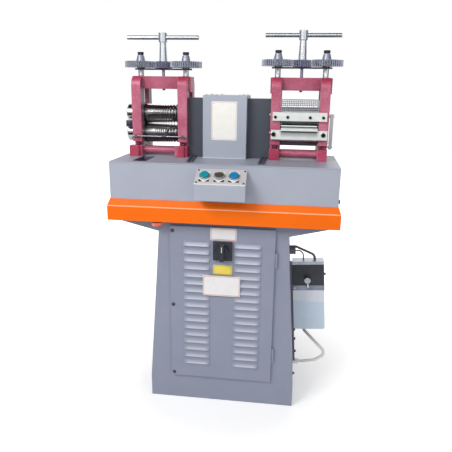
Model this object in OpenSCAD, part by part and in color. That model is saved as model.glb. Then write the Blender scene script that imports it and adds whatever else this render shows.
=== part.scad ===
// Electric double rolling mill for jewellers on a pedestal cabinet.
// The left head has grooved wire rolls, the right head smooth sheet rolls.
// The origin is on the floor in the middle of the base, X to the right, Y to the back.

/* [Cabinet] */
// Width across the upright plinth
base_w = 518; // [490:2:560]
// Depth of the plinth and the cabinet
base_d = 260; // [240:2:300]
// Height of the upright plinth
plinth_h = 82; // [60:1:84]
// Wall of the plinth
plinth_t = 4; // [3:0.5:6]
// Width of the floor flange inside the plinth
flange_w = 60; // [50:1:70]
// Thickness of the floor flange
flange_t = 6; // [4:0.5:10]
// Distance between floor anchors from left to right
anchor_x = 450; // [430:2:460]
// Distance between floor anchors from front to back
anchor_y = 200; // [180:2:206]
// Radius of a floor anchor hole
anchor_r = 7; // [5:0.5:9]
// Width of the cabinet where its wings start
neck_w = 440; // [410:2:460]
// Height of the neck above the floor
neck_z = 636; // [610:1:650]
// Width across the wings below the bench
wing_w = 730; // [700:2:740]
// Height of the wings' upright outer edge
wing_edge = 10; // [6:1:14]
// Sheet thickness of cabinet, bench and covers
sheet = 2; // [1.5:0.5:2.5]

/* [Door] */
// Width of the door
door_w = 356; // [330:2:370]
// Lower edge of the door
door_z = 96; // [92:1:110]
// Height of the door
door_h = 564; // [540:1:570]
// How far the door stands proud of the cabinet
door_proud = 10; // [8:0.5:14]
// Width of the frame behind the door's edge
door_lap = 14; // [10:1:20]
// Louvres in one column
louvre_rows = 17; // [10:1:18]
// Distance between louvres
louvre_pitch = 27.7; // [24:0.1:28]
// Length of a louvre
louvre_len = 89; // [60:1:100]
// Height of a louvre's hood
louvre_h = 14; // [10:1:16]
// Depth of a louvre's hood
louvre_out = 6; // [4:0.5:8]
// Distance from the door's middle to a louvre column's middle
louvre_x = 87; // [84:1:100]
// Height of the top louvre above the floor
louvre_top = 600; // [590:1:605]
// Radius of a hinge knuckle
knuckle_r = 4; // [3.5:0.5:4.5]
// Radius of a hinge pin
hinge_pin_r = 2; // [1.5:0.25:2.5]
// Length of one hinge knuckle
knuckle_h = 26; // [18:1:34]
// Side of the main switch's square plate
isolator_w = 64; // [56:1:70]
// Height of the main switch's middle above the floor
isolator_z = 581; // [575:1:590]

/* [Bench] */
// Width of the bench
bench_w = 740; // [730:2:800]
// Distance from the base's middle to the bench's front
bench_front = 170; // [166:1:190]
// Distance from the base's middle to the bench's back
bench_back = 140; // [134:1:180]
// Height of the bench's underside above the floor
bench_z = 681; // [676:1:700]
// Height of the bench from its underside to its top
bench_h = 194; // [186:1:220]
// Thickness of the bench's top plate
top_t = 6; // [5:0.5:10]
// Height of the coloured apron
apron_h = 72; // [60:1:76]
// Height of the apron's upright part
apron_bend = 49; // [40:1:55]
// How far the apron stands out from the bench
apron_out = 10; // [6:0.5:14]
// Length of a scale tray from front to back
tray_d = 130; // [110:1:130]
// Distance from the base's middle to a scale tray's front
tray_front = 140; // [138:1:150]
// Depth of a scale tray's pocket
tray_h = 24; // [15:1:30]
// Thickness of a tray cover
cover_t = 3; // [2:0.5:4]
// Width of the left tray's cover, which leaves part of the tray open
left_cover_w = 78; // [60:1:90]

/* [Mill heads] */
// Distance from the base's middle to a head's middle
head_x = 238; // [234:1:244]
// Distance of the roll axes behind the base's middle
roll_y = 50; // [44:1:52]
// Clear width between a head's housings
opening_w = 128; // [122:1:134]
// Width of a housing
post_w = 32; // [30:0.5:34]
// Depth of a housing
housing_d = 140; // [134:1:150]
// Height of a head above the bench
frame_h = 270; // [264:1:280]
// Height of the head's top beam
beam_h = 42; // [36:1:44]
// Depth of the head's top beam
beam_d = 90; // [70:1:100]
// Radius of a housing's upper edges
crown_r = 32; // [20:1:34]
// How far the boss round a pressure screw's nut stands out beside its housing
boss_out = 6; // [3:0.5:8]
// Width of that boss
boss_w = 60; // [50:1:70]
// Width of the bearing window in a housing
window_w = 64; // [60:1:68]
// Height of the window's sill above the bench
sill_h = 30; // [26:1:34]
// Radius of a tie bar between the housings
tie_r = 12; // [8:0.5:13]
// Height of the front tie bar's underside above the bench
tie_lift = 8.5; // [6:0.5:10]
// Height of the rear tie bar's underside above the bench
back_tie_lift = 1; // [0.5:0.5:4]
// Height of a foot
foot_h = 37; // [30:1:40]
// How far a foot stands out in front of its housing
foot_out = 10; // [6:0.5:12]
// Width of a foot
foot_w = 32; // [28:1:34]
// How far the left frame's feet stand to the left of their housings
left_foot_shift = 10; // [4:0.5:11]
// How far the right frame's feet stand to the left of their housings
right_foot_shift = 1; // [0:0.5:4]
// Radius of a foot bolt
foot_bolt_r = 6; // [5:0.5:7]

/* [Rolls] */
// Diameter of a roll
roll_d = 66; // [65:0.5:67]
// Opening between the rolls as set
roll_gap = 2; // [2:0.1:3]
// Height of the lower roll's axis above the bench
low_axis = 76; // [74:0.5:79]
// End play of a roll's body between the housings
roll_play = 2; // [1:0.5:3]
// Radius of a roll's neck in its bearing
neck_r = 18; // [16:0.5:20]
// Radius of the drive shaft and the rolls' drive ends
shaft_r = 15; // [12:0.5:15]
// Teeth of a roll's drive gear
roll_teeth = 12; // [12:2:14]
// Width of the rolls' drive gears
roll_gear_w = 22; // [16:1:22]
// Diameter of the short extension rolls outside the left head
extension_d = 62; // [54:1:62]
// Length of the extension rolls
extension_len = 30; // [20:1:40]
// Number of grooves in a wire roll
groove_count = 16; // [8:1:16]
// Pitch of the widest groove
groove_pitch = 12; // [8:0.5:12]
// Share of its pitch that each groove hands on to the next
groove_ratio = 0.93; // [0.88:0.01:0.93]
// Width of the land between grooves
groove_land = 1; // [0.6:0.1:2]

/* [Roll setting] */
// Radius of a pressure screw
screw_r = 10; // [8:0.5:10]
// Radius of a pressure screw's nut
nut_r = 13.5; // [12.5:0.5:14.5]
// Teeth of the pinion under the handle
pinion_teeth = 22; // [20:2:24]
// Teeth of a pressure screw's gear
set_teeth = 42; // [38:2:46]
// Thickness of a pressure screw's gear
set_gear_h = 20; // [14:1:22]
// Height of the bridge plate above the bench
bridge_z = 291; // [288:1:296]
// Lower radius of the conical hub on a setting gear
screw_hub_r = 16; // [14:0.5:18]
// Thickness of the bridge plate
bridge_t = 5; // [4:0.5:8]
// How much higher the right head's setting gear sits
right_rise = 8; // [0:1:12]
// Length of the handle's cross bar
bar_len = 250; // [200:2:280]
// Radius of the handle's cross bar
bar_r = 7; // [5:0.5:8]
// Length of the handle's tapered stem
stem_h = 63; // [50:1:80]
// Height of the handle's hub
hub_h = 30; // [24:1:36]
// Radius of the handle's hub
hub_r = 14.5; // [12:0.5:18]
// Radius of the handle's spindle
spindle_r = 5; // [4:0.5:6]

/* [Feed and guides] */
// Length of the upper feed bar
feed_bar_len = 178; // [170:1:186]
// Height of the upper feed bar
feed_bar_h = 28; // [20:1:30]
// Thickness of the upper feed bar
feed_bar_t = 10; // [8:0.5:14]
// Height of the upper feed bar's lower edge above the bench
feed_bar_z = 131; // [128:1:136]
// Length of the lower feed table
table_len = 185; // [178:1:188]
// Height of the feed table's end blocks
table_h = 30; // [26:1:32]
// Thickness of the feed table's end blocks
table_t = 18; // [14:0.5:22]
// Height of the feed table's lower edge above the bench
table_z = 71; // [68:1:74]
// Thickness of the feed plate between the end blocks
plate_t = 8.5; // [6:0.5:10]
// Height of the gap between the feed plate's front edge and its block
plate_shadow = 5; // [3:0.5:6]
// Clearance of the feed plate from the lower roll
plate_gap = 1; // [0.5:0.1:1.5]
// How far the feed table's plate stands out in front of its bar
plate_out = 5; // [3:0.5:7]
// Height of the perforated guard
guard_h = 70; // [50:1:72]
// Distance between holes in the perforated guard
guard_pitch = 6; // [5:0.5:12]
// Radius of the guide rod in front of the wire rolls
rod_r = 2.5; // [2:0.25:4]
// Height of the guide rod above the bench
rod_z = 70; // [66:1:76]
// Length of the keeper bar beside the right head
keeper_h = 117; // [100:1:125]
// Width of the keeper bar
keeper_w = 11; // [8:1:14]

/* [Drive] */
// Middle of the drive cover, measured to the right of the base's middle
cover_x = -12; // [-14:1:-8]
// Width of the drive cover
cover_w = 148; // [140:1:150]
// Depth of the drive cover
cover_d = 150; // [146:1:160]
// Height of the drive cover
cover_h = 210; // [190:1:230]
// Depth of a coupling guard
guard_d = 88; // [84:1:100]
// Height of a coupling guard
guard_top = 200; // [192:1:205]
// Width of a hold-down strap
strap_w = 7.5; // [5:0.5:9]
// Height of a hold-down strap
strap_h = 6; // [3:0.5:8]
// Distance between a guard's two straps
strap_pitch = 11; // [10:0.5:14]
// Radius of the pulley on the drive shaft
pulley_r = 60; // [54:1:60]
// Radius of the motor's pulley
motor_pulley_r = 33; // [28:1:40]
// Width of the drive belt
belt_w = 36; // [24:1:38]
// Thickness of the drive belt
belt_t = 5; // [3:0.5:5]
// Height of the motor's axis above the floor
motor_z = 430; // [415:1:440]
// Radius of the motor's frame
motor_r = 66; // [55:1:68]
// Length of the motor with its gearbox
motor_len = 165; // [140:1:190]
// Height of the motor's shelf above the floor
shelf_z = 350; // [330:1:352]
// Thickness of the motor's shelf
shelf_t = 6; // [4:0.5:8]
// Width of the electrics panel on the cabinet's back wall
electrics_w = 150; // [140:1:160]
// Height of the electrics panel
electrics_h = 180; // [170:1:190]
// Height of the electrics panel's lower edge above the floor
electrics_z = 420; // [410:1:430]
// Width of a contactor
contactor_w = 40; // [30:1:42]
// Height of a contactor
contactor_h = 85; // [70:1:90]

/* [Controls] */
// Middle of the control box, right of the base's middle
control_x = 2; // [-10:1:10]
// Width of the control box
control_w = 160; // [150:1:180]
// Length of the control box's sloping panel
panel_len = 73; // [66:1:80]
// Slope of the control panel
panel_tilt = 31; // [20:1:40]
// Thickness of the control panel
panel_t = 2.5; // [2:0.5:4]
// Height of the control box's floor below the bench's top
control_drop = 105; // [95:1:112]
// Distance between the push buttons
button_pitch = 46.5; // [40:0.5:48]
// Radius of a push button
button_r = 13.8; // [11:0.2:14.4]
// Radius of the emergency button
emergency_r = 20; // [16:0.5:20]

/* [Oil pump] */
// Distance of the oil pump's middle behind the base's middle
pump_y = 15; // [0:1:30]
// Width of the oil pump away from the cabinet
pump_w = 113; // [100:1:116]
// Depth of the oil pump
pump_d = 46; // [42:1:60]
// Height of the tank's floor above the plinth
tank_z = 164; // [160:1:172]
// Height of the tank
tank_h = 154; // [145:1:160]
// Wall of the tank
tank_t = 3; // [2:0.5:4]
// Radius of the tank's lower corners
tank_r = 8; // [5:0.5:10]
// Height of the pump's housing
pump_h = 98; // [92:1:104]
// Thickness of the pump's lid
pump_lid_t = 11; // [6:0.5:14]
// Thickness of the pump's bracket
bracket_t = 8; // [6:0.5:10]
// Radius of the pump's knob
knob_r = 11; // [8:0.5:14]
// Radius of the feed pipe
feed_pipe_r = 4.5; // [3:0.25:5]
// Radius of the vent pipe
vent_pipe_r = 2.5; // [2:0.25:3]
// Radius of the return pipe
return_pipe_r = 5.5; // [4:0.25:6]

/* [Hidden] */
$fn = 64;
eps = 1;
// Radial clearance of a turning or sliding fit
running = 0.05;
// Radial clearance of a pressed or keyed fit
seat = 0.02;
// Clearance between faces that pass each other
clear = 0.3;
// Sideways clearance of a bearing block in its window
block_play = 0.2;

top_z = bench_z + bench_h;
front_y = -base_d / 2;
side_slope = (base_w - neck_w) / 2 / (neck_z - plinth_h);
side_tilt = atan(side_slope);
half_open = opening_w / 2;
screw_x = half_open + post_w / 2;
head_side = half_open + post_w;
window_top = frame_h - beam_h;
up_axis = low_axis + roll_d + roll_gap;
block_below = roll_d / 2 - 2.5;
block_above = 35;
upper_block_top = up_axis + block_above;
keeper_gap = 5;
keeper_end = 8;
tip_r = 7;
tip_h = 10;
// The straps lie between the drive cover and a head's foot
left_strap_x = cover_x - cover_w / 2 - 48;
left_splay = 15;
right_strap_x = cover_x + cover_w / 2 + 50;
pulley_x = -10;
flange_rim = belt_t + 3;
// The motor starts beside its pulley
motor_x = pulley_x + belt_w / 2 + 16;
gearbox_len = motor_len * 0.4;
motor_shaft_r = 12;
motor_shaft_in = 36;
// The electrics panel keeps its distance from the cabinet's left side
electrics_x = -cabinet_half(electrics_z + electrics_h) + 23;
contactor_pitch = contactor_w + 6;
gear_start = head_side + 3;
shaft_end = head_x - gear_start - roll_gear_w - 16;
// Gears mesh at the closest setting of the rolls and at the screws' distance
closest_gap = 0.2;
roll_module = (roll_d + closest_gap) / roll_teeth;
set_module = 2 * screw_x / (pinion_teeth + set_teeth);
pressure_angle = 25;
foot_back = housing_d / 2 - 16;
toe_gap = 1.5;
pocket_back = housing_d / 2 - 24;
bolt_head_h = 8;
bolt_pocket_h = 14;
foot_bolt_y = housing_d / 2 - 10;
boss_z = window_top - 10;
collar_gap = 3;
set_gear_z = bridge_z + bridge_t + collar_gap;
door_front = front_y - door_proud;
door_gap = 0.5;
hinge_x = door_w / 2 + knuckle_r + 1;
hinge_y = front_y - door_proud / 2 - 1;
hinge_heights = [door_z + 80, door_z + door_h - 80 - 2 * knuckle_h];
isolator_x = 3;
isolator_t = 12;
control_back = -bench_front;
panel_z = top_z - 16;
control_front = control_back - panel_len * cos(panel_tilt);
button_y = -panel_len / 2;
button_shift = -4.5;
emergency_x = -218;
emergency_y = front_y - emergency_r - 3;
emergency_drop = 19;
lid_z = tank_z + tank_h + pump_h;
lid_top = lid_z + pump_lid_t;
knob_drop = 55;
stud_drop = 44;
block_z = lid_top + 26;
block_h = 20.5;
block_out = 21.5;
gland_r = 10;
gland_len = 20;
gland_z = 18;
mains_x = -150;
mains_z = 140;
pipe_bend = 20;
// How much thicker a pipe's bends are than its straight legs
bend_rim = 0.1;
feed_x = 89;
feed_z = block_z + block_h + feed_pipe_r + 0.5;
vent_x = block_out + pipe_bend + 7;
vent_z = block_z + 10;
return_x = 44;
// Corners of the pipes beside the cabinet: distance from its side, height along it
feed_route = [[0, feed_z], [feed_x - 67, feed_z], [feed_x, feed_z - 33], [feed_x, lid_top]];
vent_route = [[block_out, vent_z], [vent_x, vent_z], [vent_x, lid_top]];
return_route = [[return_x, tank_z], [return_x, tank_z - 14], [return_x + 82, gland_z + 34],
    [return_x + 40, gland_z + 6], [gland_len + 12, gland_z], [gland_len, gland_z]];

paint_grey = [0.60, 0.62, 0.69];
paint_light = [0.66, 0.69, 0.74];
orange = [0.97, 0.44, 0.10];
casting_red = [0.68, 0.20, 0.32];
slate = [0.25, 0.27, 0.32];
steel = [0.80, 0.82, 0.84];
dark_steel = [0.36, 0.36, 0.42];
gear_grey = [0.57, 0.58, 0.65];
bronze = [0.70, 0.52, 0.28];
black = [0.16, 0.17, 0.20];

// Half width of the cabinet's outside at a height above the floor
function cabinet_half(z) = base_w / 2 - (z - plinth_h) * side_slope;

// Involute of an angle, in degrees
function involute(a) = tan(a) * 180 / PI - a;

// Half the angle that a tooth takes up at a radius
function half_tooth(r, pitch_r, base_r, teeth, play) =
    90 / teeth - play * 90 / (PI * pitch_r) + involute(acos(base_r / pitch_r))
    - involute(acos(min(1, base_r / max(r, base_r))));

// Outline of a spur gear with one tooth on the X axis
function gear_points(teeth, m, play) =
    let (pitch_r = teeth * m / 2, base_r = pitch_r * cos(pressure_angle),
        root_r = pitch_r - 1.25 * m, tip = pitch_r + m, low = max(root_r, base_r),
        radii = [if (root_r < base_r) root_r, for (k = [0:4]) low + (tip - low) * k / 4])
    [for (i = [0:teeth - 1]) each concat(
        [for (r = radii) let (a = i * 360 / teeth - half_tooth(r, pitch_r, base_r, teeth, play))
            r * [cos(a), sin(a)]],
        [for (k = [len(radii) - 1:-1:0]) let (r = radii[k],
            a = i * 360 / teeth + half_tooth(r, pitch_r, base_r, teeth, play))
            r * [cos(a), sin(a)]])];

// Where groove i of a wire roll starts, measured from the coarse end
function groove_start(i) = groove_pitch * (1 - pow(groove_ratio, i)) / (1 - groove_ratio);

// Heading of a route's leg, from straight up towards +X
function heading(p, i) = atan2(p[i + 1][0] - p[i][0], p[i + 1][1] - p[i][1]);

// Change of heading at a route's corner, between -180 and 180 degrees
function turn_at(p, i) = let (t = heading(p, i) - heading(p, i - 1)) t > 180 ? t - 360 : t < -180 ? t + 360 : t;

// Length that a bend takes from each leg at a route's corner
function bend_cut(p, i) = pipe_bend * tan(abs(turn_at(p, i)) / 2);

// Where a leg stops, measured from a route's point: at the route's end, or just inside a bend
function leg_cut(p, i) = i == 0 || i == len(p) - 1 ? 0 : bend_cut(p, i) - eps;

module box(x, y, z) translate([x[0], y[0], z[0]]) cube([x[1] - x[0], y[1] - y[0], z[1] - z[0]]);

module rod_x(r, x) translate([x[0], 0, 0]) rotate([0, 90, 0]) cylinder(r = r, h = x[1] - x[0]);

module rod_y(r, y) translate([0, y[0], 0]) rotate([-90, 0, 0]) cylinder(r = r, h = y[1] - y[0]);

// Extrudes a Y-Z outline along X
module along_x(x) translate([x[0], 0, 0]) rotate([90, 0, 90]) linear_extrude(x[1] - x[0]) children();

// Extrudes an X-Z outline along Y
module along_y(y) translate([0, y[1], 0]) rotate([90, 0, 0]) linear_extrude(y[1] - y[0]) children();

module at_head(side) translate([side * head_x, roll_y, top_z]) children();

// Frame on the cabinet's right side: X away from the side, Z up along it
module on_side() translate([base_w / 2, pump_y, plinth_h]) rotate([0, -side_tilt, 0]) children();

// Frame on the control panel's underside: Y up the slope, Z out of the panel
module on_panel() translate([control_x, control_back, panel_z]) rotate([panel_tilt, 0, 0]) children();

// Round pipe along a route in the X-Z plane, bent at the route's corners
module pipe(p, r) for (i = [0:len(p) - 2])
    translate([p[i][0], 0, p[i][1]]) rotate([0, heading(p, i), 0]) {
        translate([0, 0, leg_cut(p, i)])
            cylinder(r = r - bend_rim, h = norm(p[i + 1] - p[i]) - leg_cut(p, i) - leg_cut(p, i + 1));
        if (i > 0) rotate([0, -turn_at(p, i), 0]) translate([0, 0, -bend_cut(p, i)])
            rotate([0, 0, turn_at(p, i) < 0 ? 180 : 0]) translate([pipe_bend, 0, 0]) rotate([90, 0, 180])
                rotate_extrude(angle = abs(turn_at(p, i))) translate([pipe_bend, 0]) circle(r = r);
    }

module plinth() color(paint_grey) difference() {
    box([-base_w / 2, base_w / 2], [front_y, base_d / 2], [0, plinth_h]);
    box([-base_w / 2 + plinth_t, base_w / 2 - plinth_t], [front_y + plinth_t, base_d / 2 - plinth_t],
        [flange_t, plinth_h + eps]);
    box([-base_w / 2 + flange_w, base_w / 2 - flange_w], [front_y + flange_w, base_d / 2 - flange_w],
        [-eps, plinth_h]);
    for (x = [-1, 1], y = [-1, 1])
        translate([x * anchor_x / 2, y * anchor_y / 2, -eps]) cylinder(r = anchor_r, h = flange_t + 2 * eps);
}

// Front view of the cabinet, drawn in by a wall thickness
module cabinet_outline(wall, foot) polygon([
    [-cabinet_half(foot) + wall, foot], [-neck_w / 2 + wall, neck_z + 2 * wall],
    [-wing_w / 2 + wall, bench_z - wing_edge + wall], [-wing_w / 2 + wall, bench_z - wall],
    [wing_w / 2 - wall, bench_z - wall], [wing_w / 2 - wall, bench_z - wing_edge + wall],
    [neck_w / 2 - wall, neck_z + 2 * wall], [cabinet_half(foot) - wall, foot]]);

module cabinet() color(paint_grey) difference() {
    along_y([front_y, base_d / 2]) cabinet_outline(0, plinth_h);
    along_y([front_y + sheet, base_d / 2 - sheet]) cabinet_outline(sheet, plinth_h - eps);
    // Door opening
    box([-door_w / 2 + door_lap, door_w / 2 - door_lap], [front_y - eps, front_y + 2 * sheet],
        [door_z + door_lap, door_z + door_h - door_lap]);
    // Way up into the bench
    box([-neck_w / 2 + 30, neck_w / 2 - 30], [front_y + 12, base_d / 2 - 12],
        [bench_z - 2 * sheet, bench_z + eps]);
}

module hinge_at(z) translate([hinge_x, hinge_y, z]) children();

module door_hinges() color(steel) for (z = hinge_heights) hinge_at(z) {
    cylinder(r = knuckle_r, h = knuckle_h);
    cylinder(r = hinge_pin_r, h = 2 * knuckle_h);
    box([-1.5, 1.5], [0, front_y - hinge_y], [0, knuckle_h]);
}

module door() color(paint_grey) {
    difference() {
        box([-door_w / 2, door_w / 2], [door_front, front_y - door_gap], [door_z, door_z + door_h]);
        box([-door_w / 2 + sheet, door_w / 2 - sheet], [door_front + sheet, front_y],
            [door_z + sheet, door_z + door_h - sheet]);
        for (side = [-1, 1], i = [0:louvre_rows - 1])
            box([side * louvre_x - louvre_len / 2 + 3, side * louvre_x + louvre_len / 2 - 3],
                [door_front - eps, door_front + sheet + eps],
                [louvre_top - i * louvre_pitch - louvre_h / 2, louvre_top - i * louvre_pitch + louvre_h / 4]);
        translate([isolator_x, 0, isolator_z]) rod_y(isolator_w / 3, [door_front - eps, front_y]);
    }
    for (side = [-1, 1], i = [0:louvre_rows - 1])
        translate([0, door_front, louvre_top - i * louvre_pitch])
            along_x([side * louvre_x - louvre_len / 2, side * louvre_x + louvre_len / 2])
                polygon([[0, louvre_h / 2], [-louvre_out, -louvre_h / 2],
                    [-louvre_out + sheet / 2, -louvre_h / 2], [0, louvre_h / 2 - 2 * sheet]]);
    for (z = hinge_heights) hinge_at(z + knuckle_h + clear) difference() {
        union() {
            cylinder(r = knuckle_r, h = knuckle_h - 2 * clear);
            box([door_w / 2 - sheet / 2 - hinge_x, 0], [-1.5, 1.5], [0, knuckle_h - 2 * clear]);
        }
        translate([0, 0, -eps]) cylinder(r = hinge_pin_r + running, h = knuckle_h + eps);
    }
}

module at_isolator() translate([isolator_x, door_front, isolator_z]) children();

module isolator_base() color(black) at_isolator() difference() {
    union() {
        box([-isolator_w / 2, isolator_w / 2], [-isolator_t, 0], [-isolator_w / 2, isolator_w / 2]);
        rod_y(isolator_w / 3 - clear, [0, 40]);
    }
    rod_y(5 + running, [-isolator_t - eps, 6]);
}

module isolator_handle() color(black) at_isolator() {
    rod_y(isolator_w / 3, [-isolator_t - clear - 10, -isolator_t - clear]);
    box([-7, 7], [-isolator_t - 24, -isolator_t - clear - 10], [-isolator_w * 0.45, isolator_w * 0.45]);
    rod_y(5, [-isolator_t - clear, 5]);
}

module bench_shell() color(paint_light) difference() {
    box([-bench_w / 2, bench_w / 2], [-bench_front, bench_back], [bench_z, top_z - top_t]);
    box([-bench_w / 2 + sheet, bench_w / 2 - sheet], [-bench_front + sheet, bench_back - sheet],
        [bench_z + sheet, top_z]);
    // Way down into the cabinet
    box([-neck_w / 2 + 30, neck_w / 2 - 30], [front_y + 12, base_d / 2 - 12],
        [bench_z - eps, bench_z + 2 * sheet]);
    translate([emergency_x, emergency_y, bench_z - eps]) cylinder(r = 9 + clear, h = sheet + 2 * eps);
    // Wires to the control box
    translate([control_x, 0, top_z - control_drop + 30])
        rod_y(10, [-bench_front - eps, -bench_front + sheet + eps]);
}

module tray_pocket(side, grow, y_grow, z) box(
    [side * head_x - half_open + 2 - grow, side * head_x + half_open - 2 + grow],
    [-tray_front - y_grow, -tray_front + tray_d + y_grow], z);

module bench_top() color(paint_light) difference() {
    union() {
        box([-bench_w / 2, bench_w / 2], [-bench_front, bench_back], [top_z - top_t, top_z]);
        for (side = [-1, 1])
            tray_pocket(side, sheet, sheet, [top_z - cover_t - tray_h - sheet, top_z - top_t]);
    }
    for (side = [-1, 1]) {
        tray_pocket(side, 0, 0, [top_z - cover_t, top_z + eps]);
        tray_pocket(side, 0, -6, [top_z - cover_t - tray_h, top_z]);
        at_head(side) for (x = [-1, 1], y = [-1, 1])
            translate([x * screw_x, y * foot_bolt_y, -top_t - eps])
                cylinder(r = foot_bolt_r + 0.5, h = top_t + 2 * eps);
    }
    // Belt slot below the drive cover
    box([pulley_x - belt_w / 2 - 6, pulley_x + belt_w / 2 + 6],
        [roll_y - pulley_r - 10, roll_y + pulley_r + 10], [top_z - top_t - eps, top_z + eps]);
}

module apron_side(half_a, half_b, low_a, low_b) polygon([
    [-low_a, bench_z], [low_b, bench_z], [low_b, bench_z + apron_bend], [half_b, bench_z + apron_h],
    [-half_a, bench_z + apron_h], [-low_a, bench_z + apron_bend]]);

module apron() color(orange) difference() {
    intersection() {
        along_y([-base_d * 2, base_d * 2])
            apron_side(bench_w / 2 + 1, bench_w / 2 + 1, bench_w / 2 + apron_out, bench_w / 2 + apron_out);
        along_x([-bench_w, bench_w])
            apron_side(bench_front + 1, bench_back + 1, bench_front + apron_out, bench_back + apron_out);
    }
    box([-bench_w / 2, bench_w / 2], [-bench_front, bench_back], [bench_z - eps, top_z]);
}

module housing_outline() difference() {
    union() {
        translate([-housing_d / 2, 0]) square([housing_d, frame_h - crown_r]);
        translate([-housing_d / 2 + crown_r, 0]) square([housing_d - 2 * crown_r, frame_h]);
        for (y = [-1, 1]) translate([y * (housing_d / 2 - crown_r), frame_h - crown_r]) circle(r = crown_r);
    }
    translate([-window_w / 2, sill_h]) square([window_w, window_top - sill_h]);
}

// Foot block at one end of a housing; its toe in the opening keeps clear of the tray's cover
module foot(side, end, shift) {
    middle = side * screw_x - shift;
    y = end > 0 ? [foot_back, housing_d / 2 + foot_out] : [-housing_d / 2 - foot_out, -foot_back];
    box([max(middle - foot_w / 2, side > 0 ? half_open : -head_x), middle + foot_w / 2], y, [0, foot_h]);
    if (side > 0) box([middle - foot_w / 2, half_open + eps], y, [toe_gap, foot_h]);
}

module mill_frame(foot_shift) color(casting_red) difference() {
    union() {
        for (x = [-1, 1]) {
            along_x([x * screw_x - post_w / 2, x * screw_x + post_w / 2]) housing_outline();
            for (y = [-1, 1]) foot(x, y, foot_shift);
            box(x > 0 ? [head_side - eps, head_side + boss_out] : [-head_side - boss_out, -head_side + eps],
                [-boss_w / 2, boss_w / 2], [boss_z, frame_h - 0.5]);
        }
        box([-half_open - eps, half_open + eps], [-beam_d / 2, beam_d / 2], [window_top, frame_h - 0.5]);
        for (y = [-1, 1])
            translate([0, y * (window_w / 2 + tie_r), tie_r + (y < 0 ? tie_lift : back_tie_lift)])
                rod_x(tie_r, [-half_open - eps, half_open + eps]);
    }
    for (x = [-1, 1]) translate([x * screw_x, 0, 0]) {
        translate([0, 0, window_top - eps]) cylinder(r = nut_r + seat, h = beam_h + 2 * eps);
        for (y = [-1, 1]) {
            translate([0, y * foot_bolt_y, -eps]) cylinder(r = foot_bolt_r + 0.5, h = foot_h + 2 * eps);
            // Pocket for a foot bolt's head
            box([-post_w, post_w], y > 0 ? [pocket_back, housing_d] : [-housing_d, -pocket_back],
                [foot_h, foot_h + bolt_pocket_h]);
        }
    }
    translate([0, 0, window_top - eps]) cylinder(r = spindle_r + 2 * running, h = beam_h + 2 * eps);
}

module left_frame() at_head(-1) mill_frame(left_foot_shift);

module right_frame() at_head(1) mill_frame(right_foot_shift);

module bearing_block(axis, z) difference() {
    box([-post_w / 2 + 1, post_w / 2 - 1], [-window_w / 2 + block_play, window_w / 2 - block_play], z);
    translate([0, 0, axis]) rod_x(neck_r + running, [-post_w, post_w]);
}

module lower_chocks() color(bronze) for (side = [-1, 1], x = [-1, 1])
    at_head(side) translate([x * screw_x, 0, 0]) bearing_block(low_axis, [sill_h, low_axis + block_below]);

module upper_chocks() color(bronze) for (x = [-1, 1]) translate([x * screw_x, 0, 0]) difference() {
    bearing_block(up_axis, [up_axis - block_below, upper_block_top]);
    translate([0, 0, upper_block_top - tip_h]) cylinder(r = tip_r + running, h = tip_h + eps);
}

module left_upper_chocks() at_head(-1) upper_chocks();

module right_upper_chocks() at_head(1) upper_chocks();

module pressure_nuts() color(bronze) for (side = [-1, 1], x = [-1, 1])
    at_head(side) translate([x * screw_x, 0, window_top]) difference() {
        cylinder(r = nut_r, h = beam_h);
        translate([0, 0, -eps]) cylinder(r = screw_r + running, h = beam_h + 2 * eps);
    }

module foot_bolts() color(dark_steel) for (side = [-1, 1], x = [-1, 1], y = [-1, 1])
    at_head(side) translate([x * screw_x, y * foot_bolt_y, 0]) {
        translate([0, 0, -top_t - 8]) cylinder(r = foot_bolt_r, h = foot_h + top_t + 8 + eps);
        translate([0, 0, foot_h]) cylinder(r = foot_bolt_r * 1.55, h = bolt_head_h, $fn = 6);
        translate([0, 0, -top_t - 6]) cylinder(r = foot_bolt_r * 1.55, h = 6, $fn = 6);
    }

// Roll along X with its drive end at +X; grooves run from the drive end
module roll(grooved, extension, drive_end) {
    r = roll_d / 2;
    body = half_open - roll_play / 2;
    out = head_side + 2;
    outer = extension > 0 ? [[0, -out - extension], [extension_d / 2 - 3, -out - extension],
        [extension_d / 2, -out - extension + 3], [extension_d / 2, -out], [neck_r, -out]]
        : [[0, -out], [neck_r, -out]];
    grooves = grooved ? [for (i = [groove_count - 1:-1:0]) let (
        w = groove_pitch * pow(groove_ratio, i) - groove_land, x = body - 3 - groove_start(i) - w)
        each [[r, x], [r - w / 2, x + w / 2], [r, x + w]]] : [];
    rotate([0, 90, 0]) rotate_extrude() polygon(concat(outer,
        [[neck_r, -body], [r, -body]], grooves, [[r, body], [neck_r, body], [neck_r, gear_start],
        [shaft_r, gear_start], [shaft_r, drive_end], [0, drive_end]]));
}

// Drive gear of a roll; a tooth or a gap points up
module roll_gear(turn) along_x([gear_start, gear_start + roll_gear_w])
    rotate(90 + turn) polygon(gear_points(roll_teeth, roll_module, 0.4));

module upper_roll(grooved, extension) color(steel) translate([0, 0, up_axis]) {
    roll(grooved, extension, gear_start + roll_gear_w + 2);
    roll_gear(180 / roll_teeth);
}

module lower_roll(grooved, extension) color(steel) translate([0, 0, low_axis]) {
    roll(grooved, extension, head_x - shaft_end);
    roll_gear(0);
}

module left_upper_roll() at_head(-1) upper_roll(true, extension_len);

module left_lower_roll() at_head(-1) lower_roll(true, extension_len);

module right_upper_roll() at_head(1) mirror([1, 0, 0]) upper_roll(false, 0);

module right_lower_roll() at_head(1) mirror([1, 0, 0]) lower_roll(false, 0);

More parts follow.
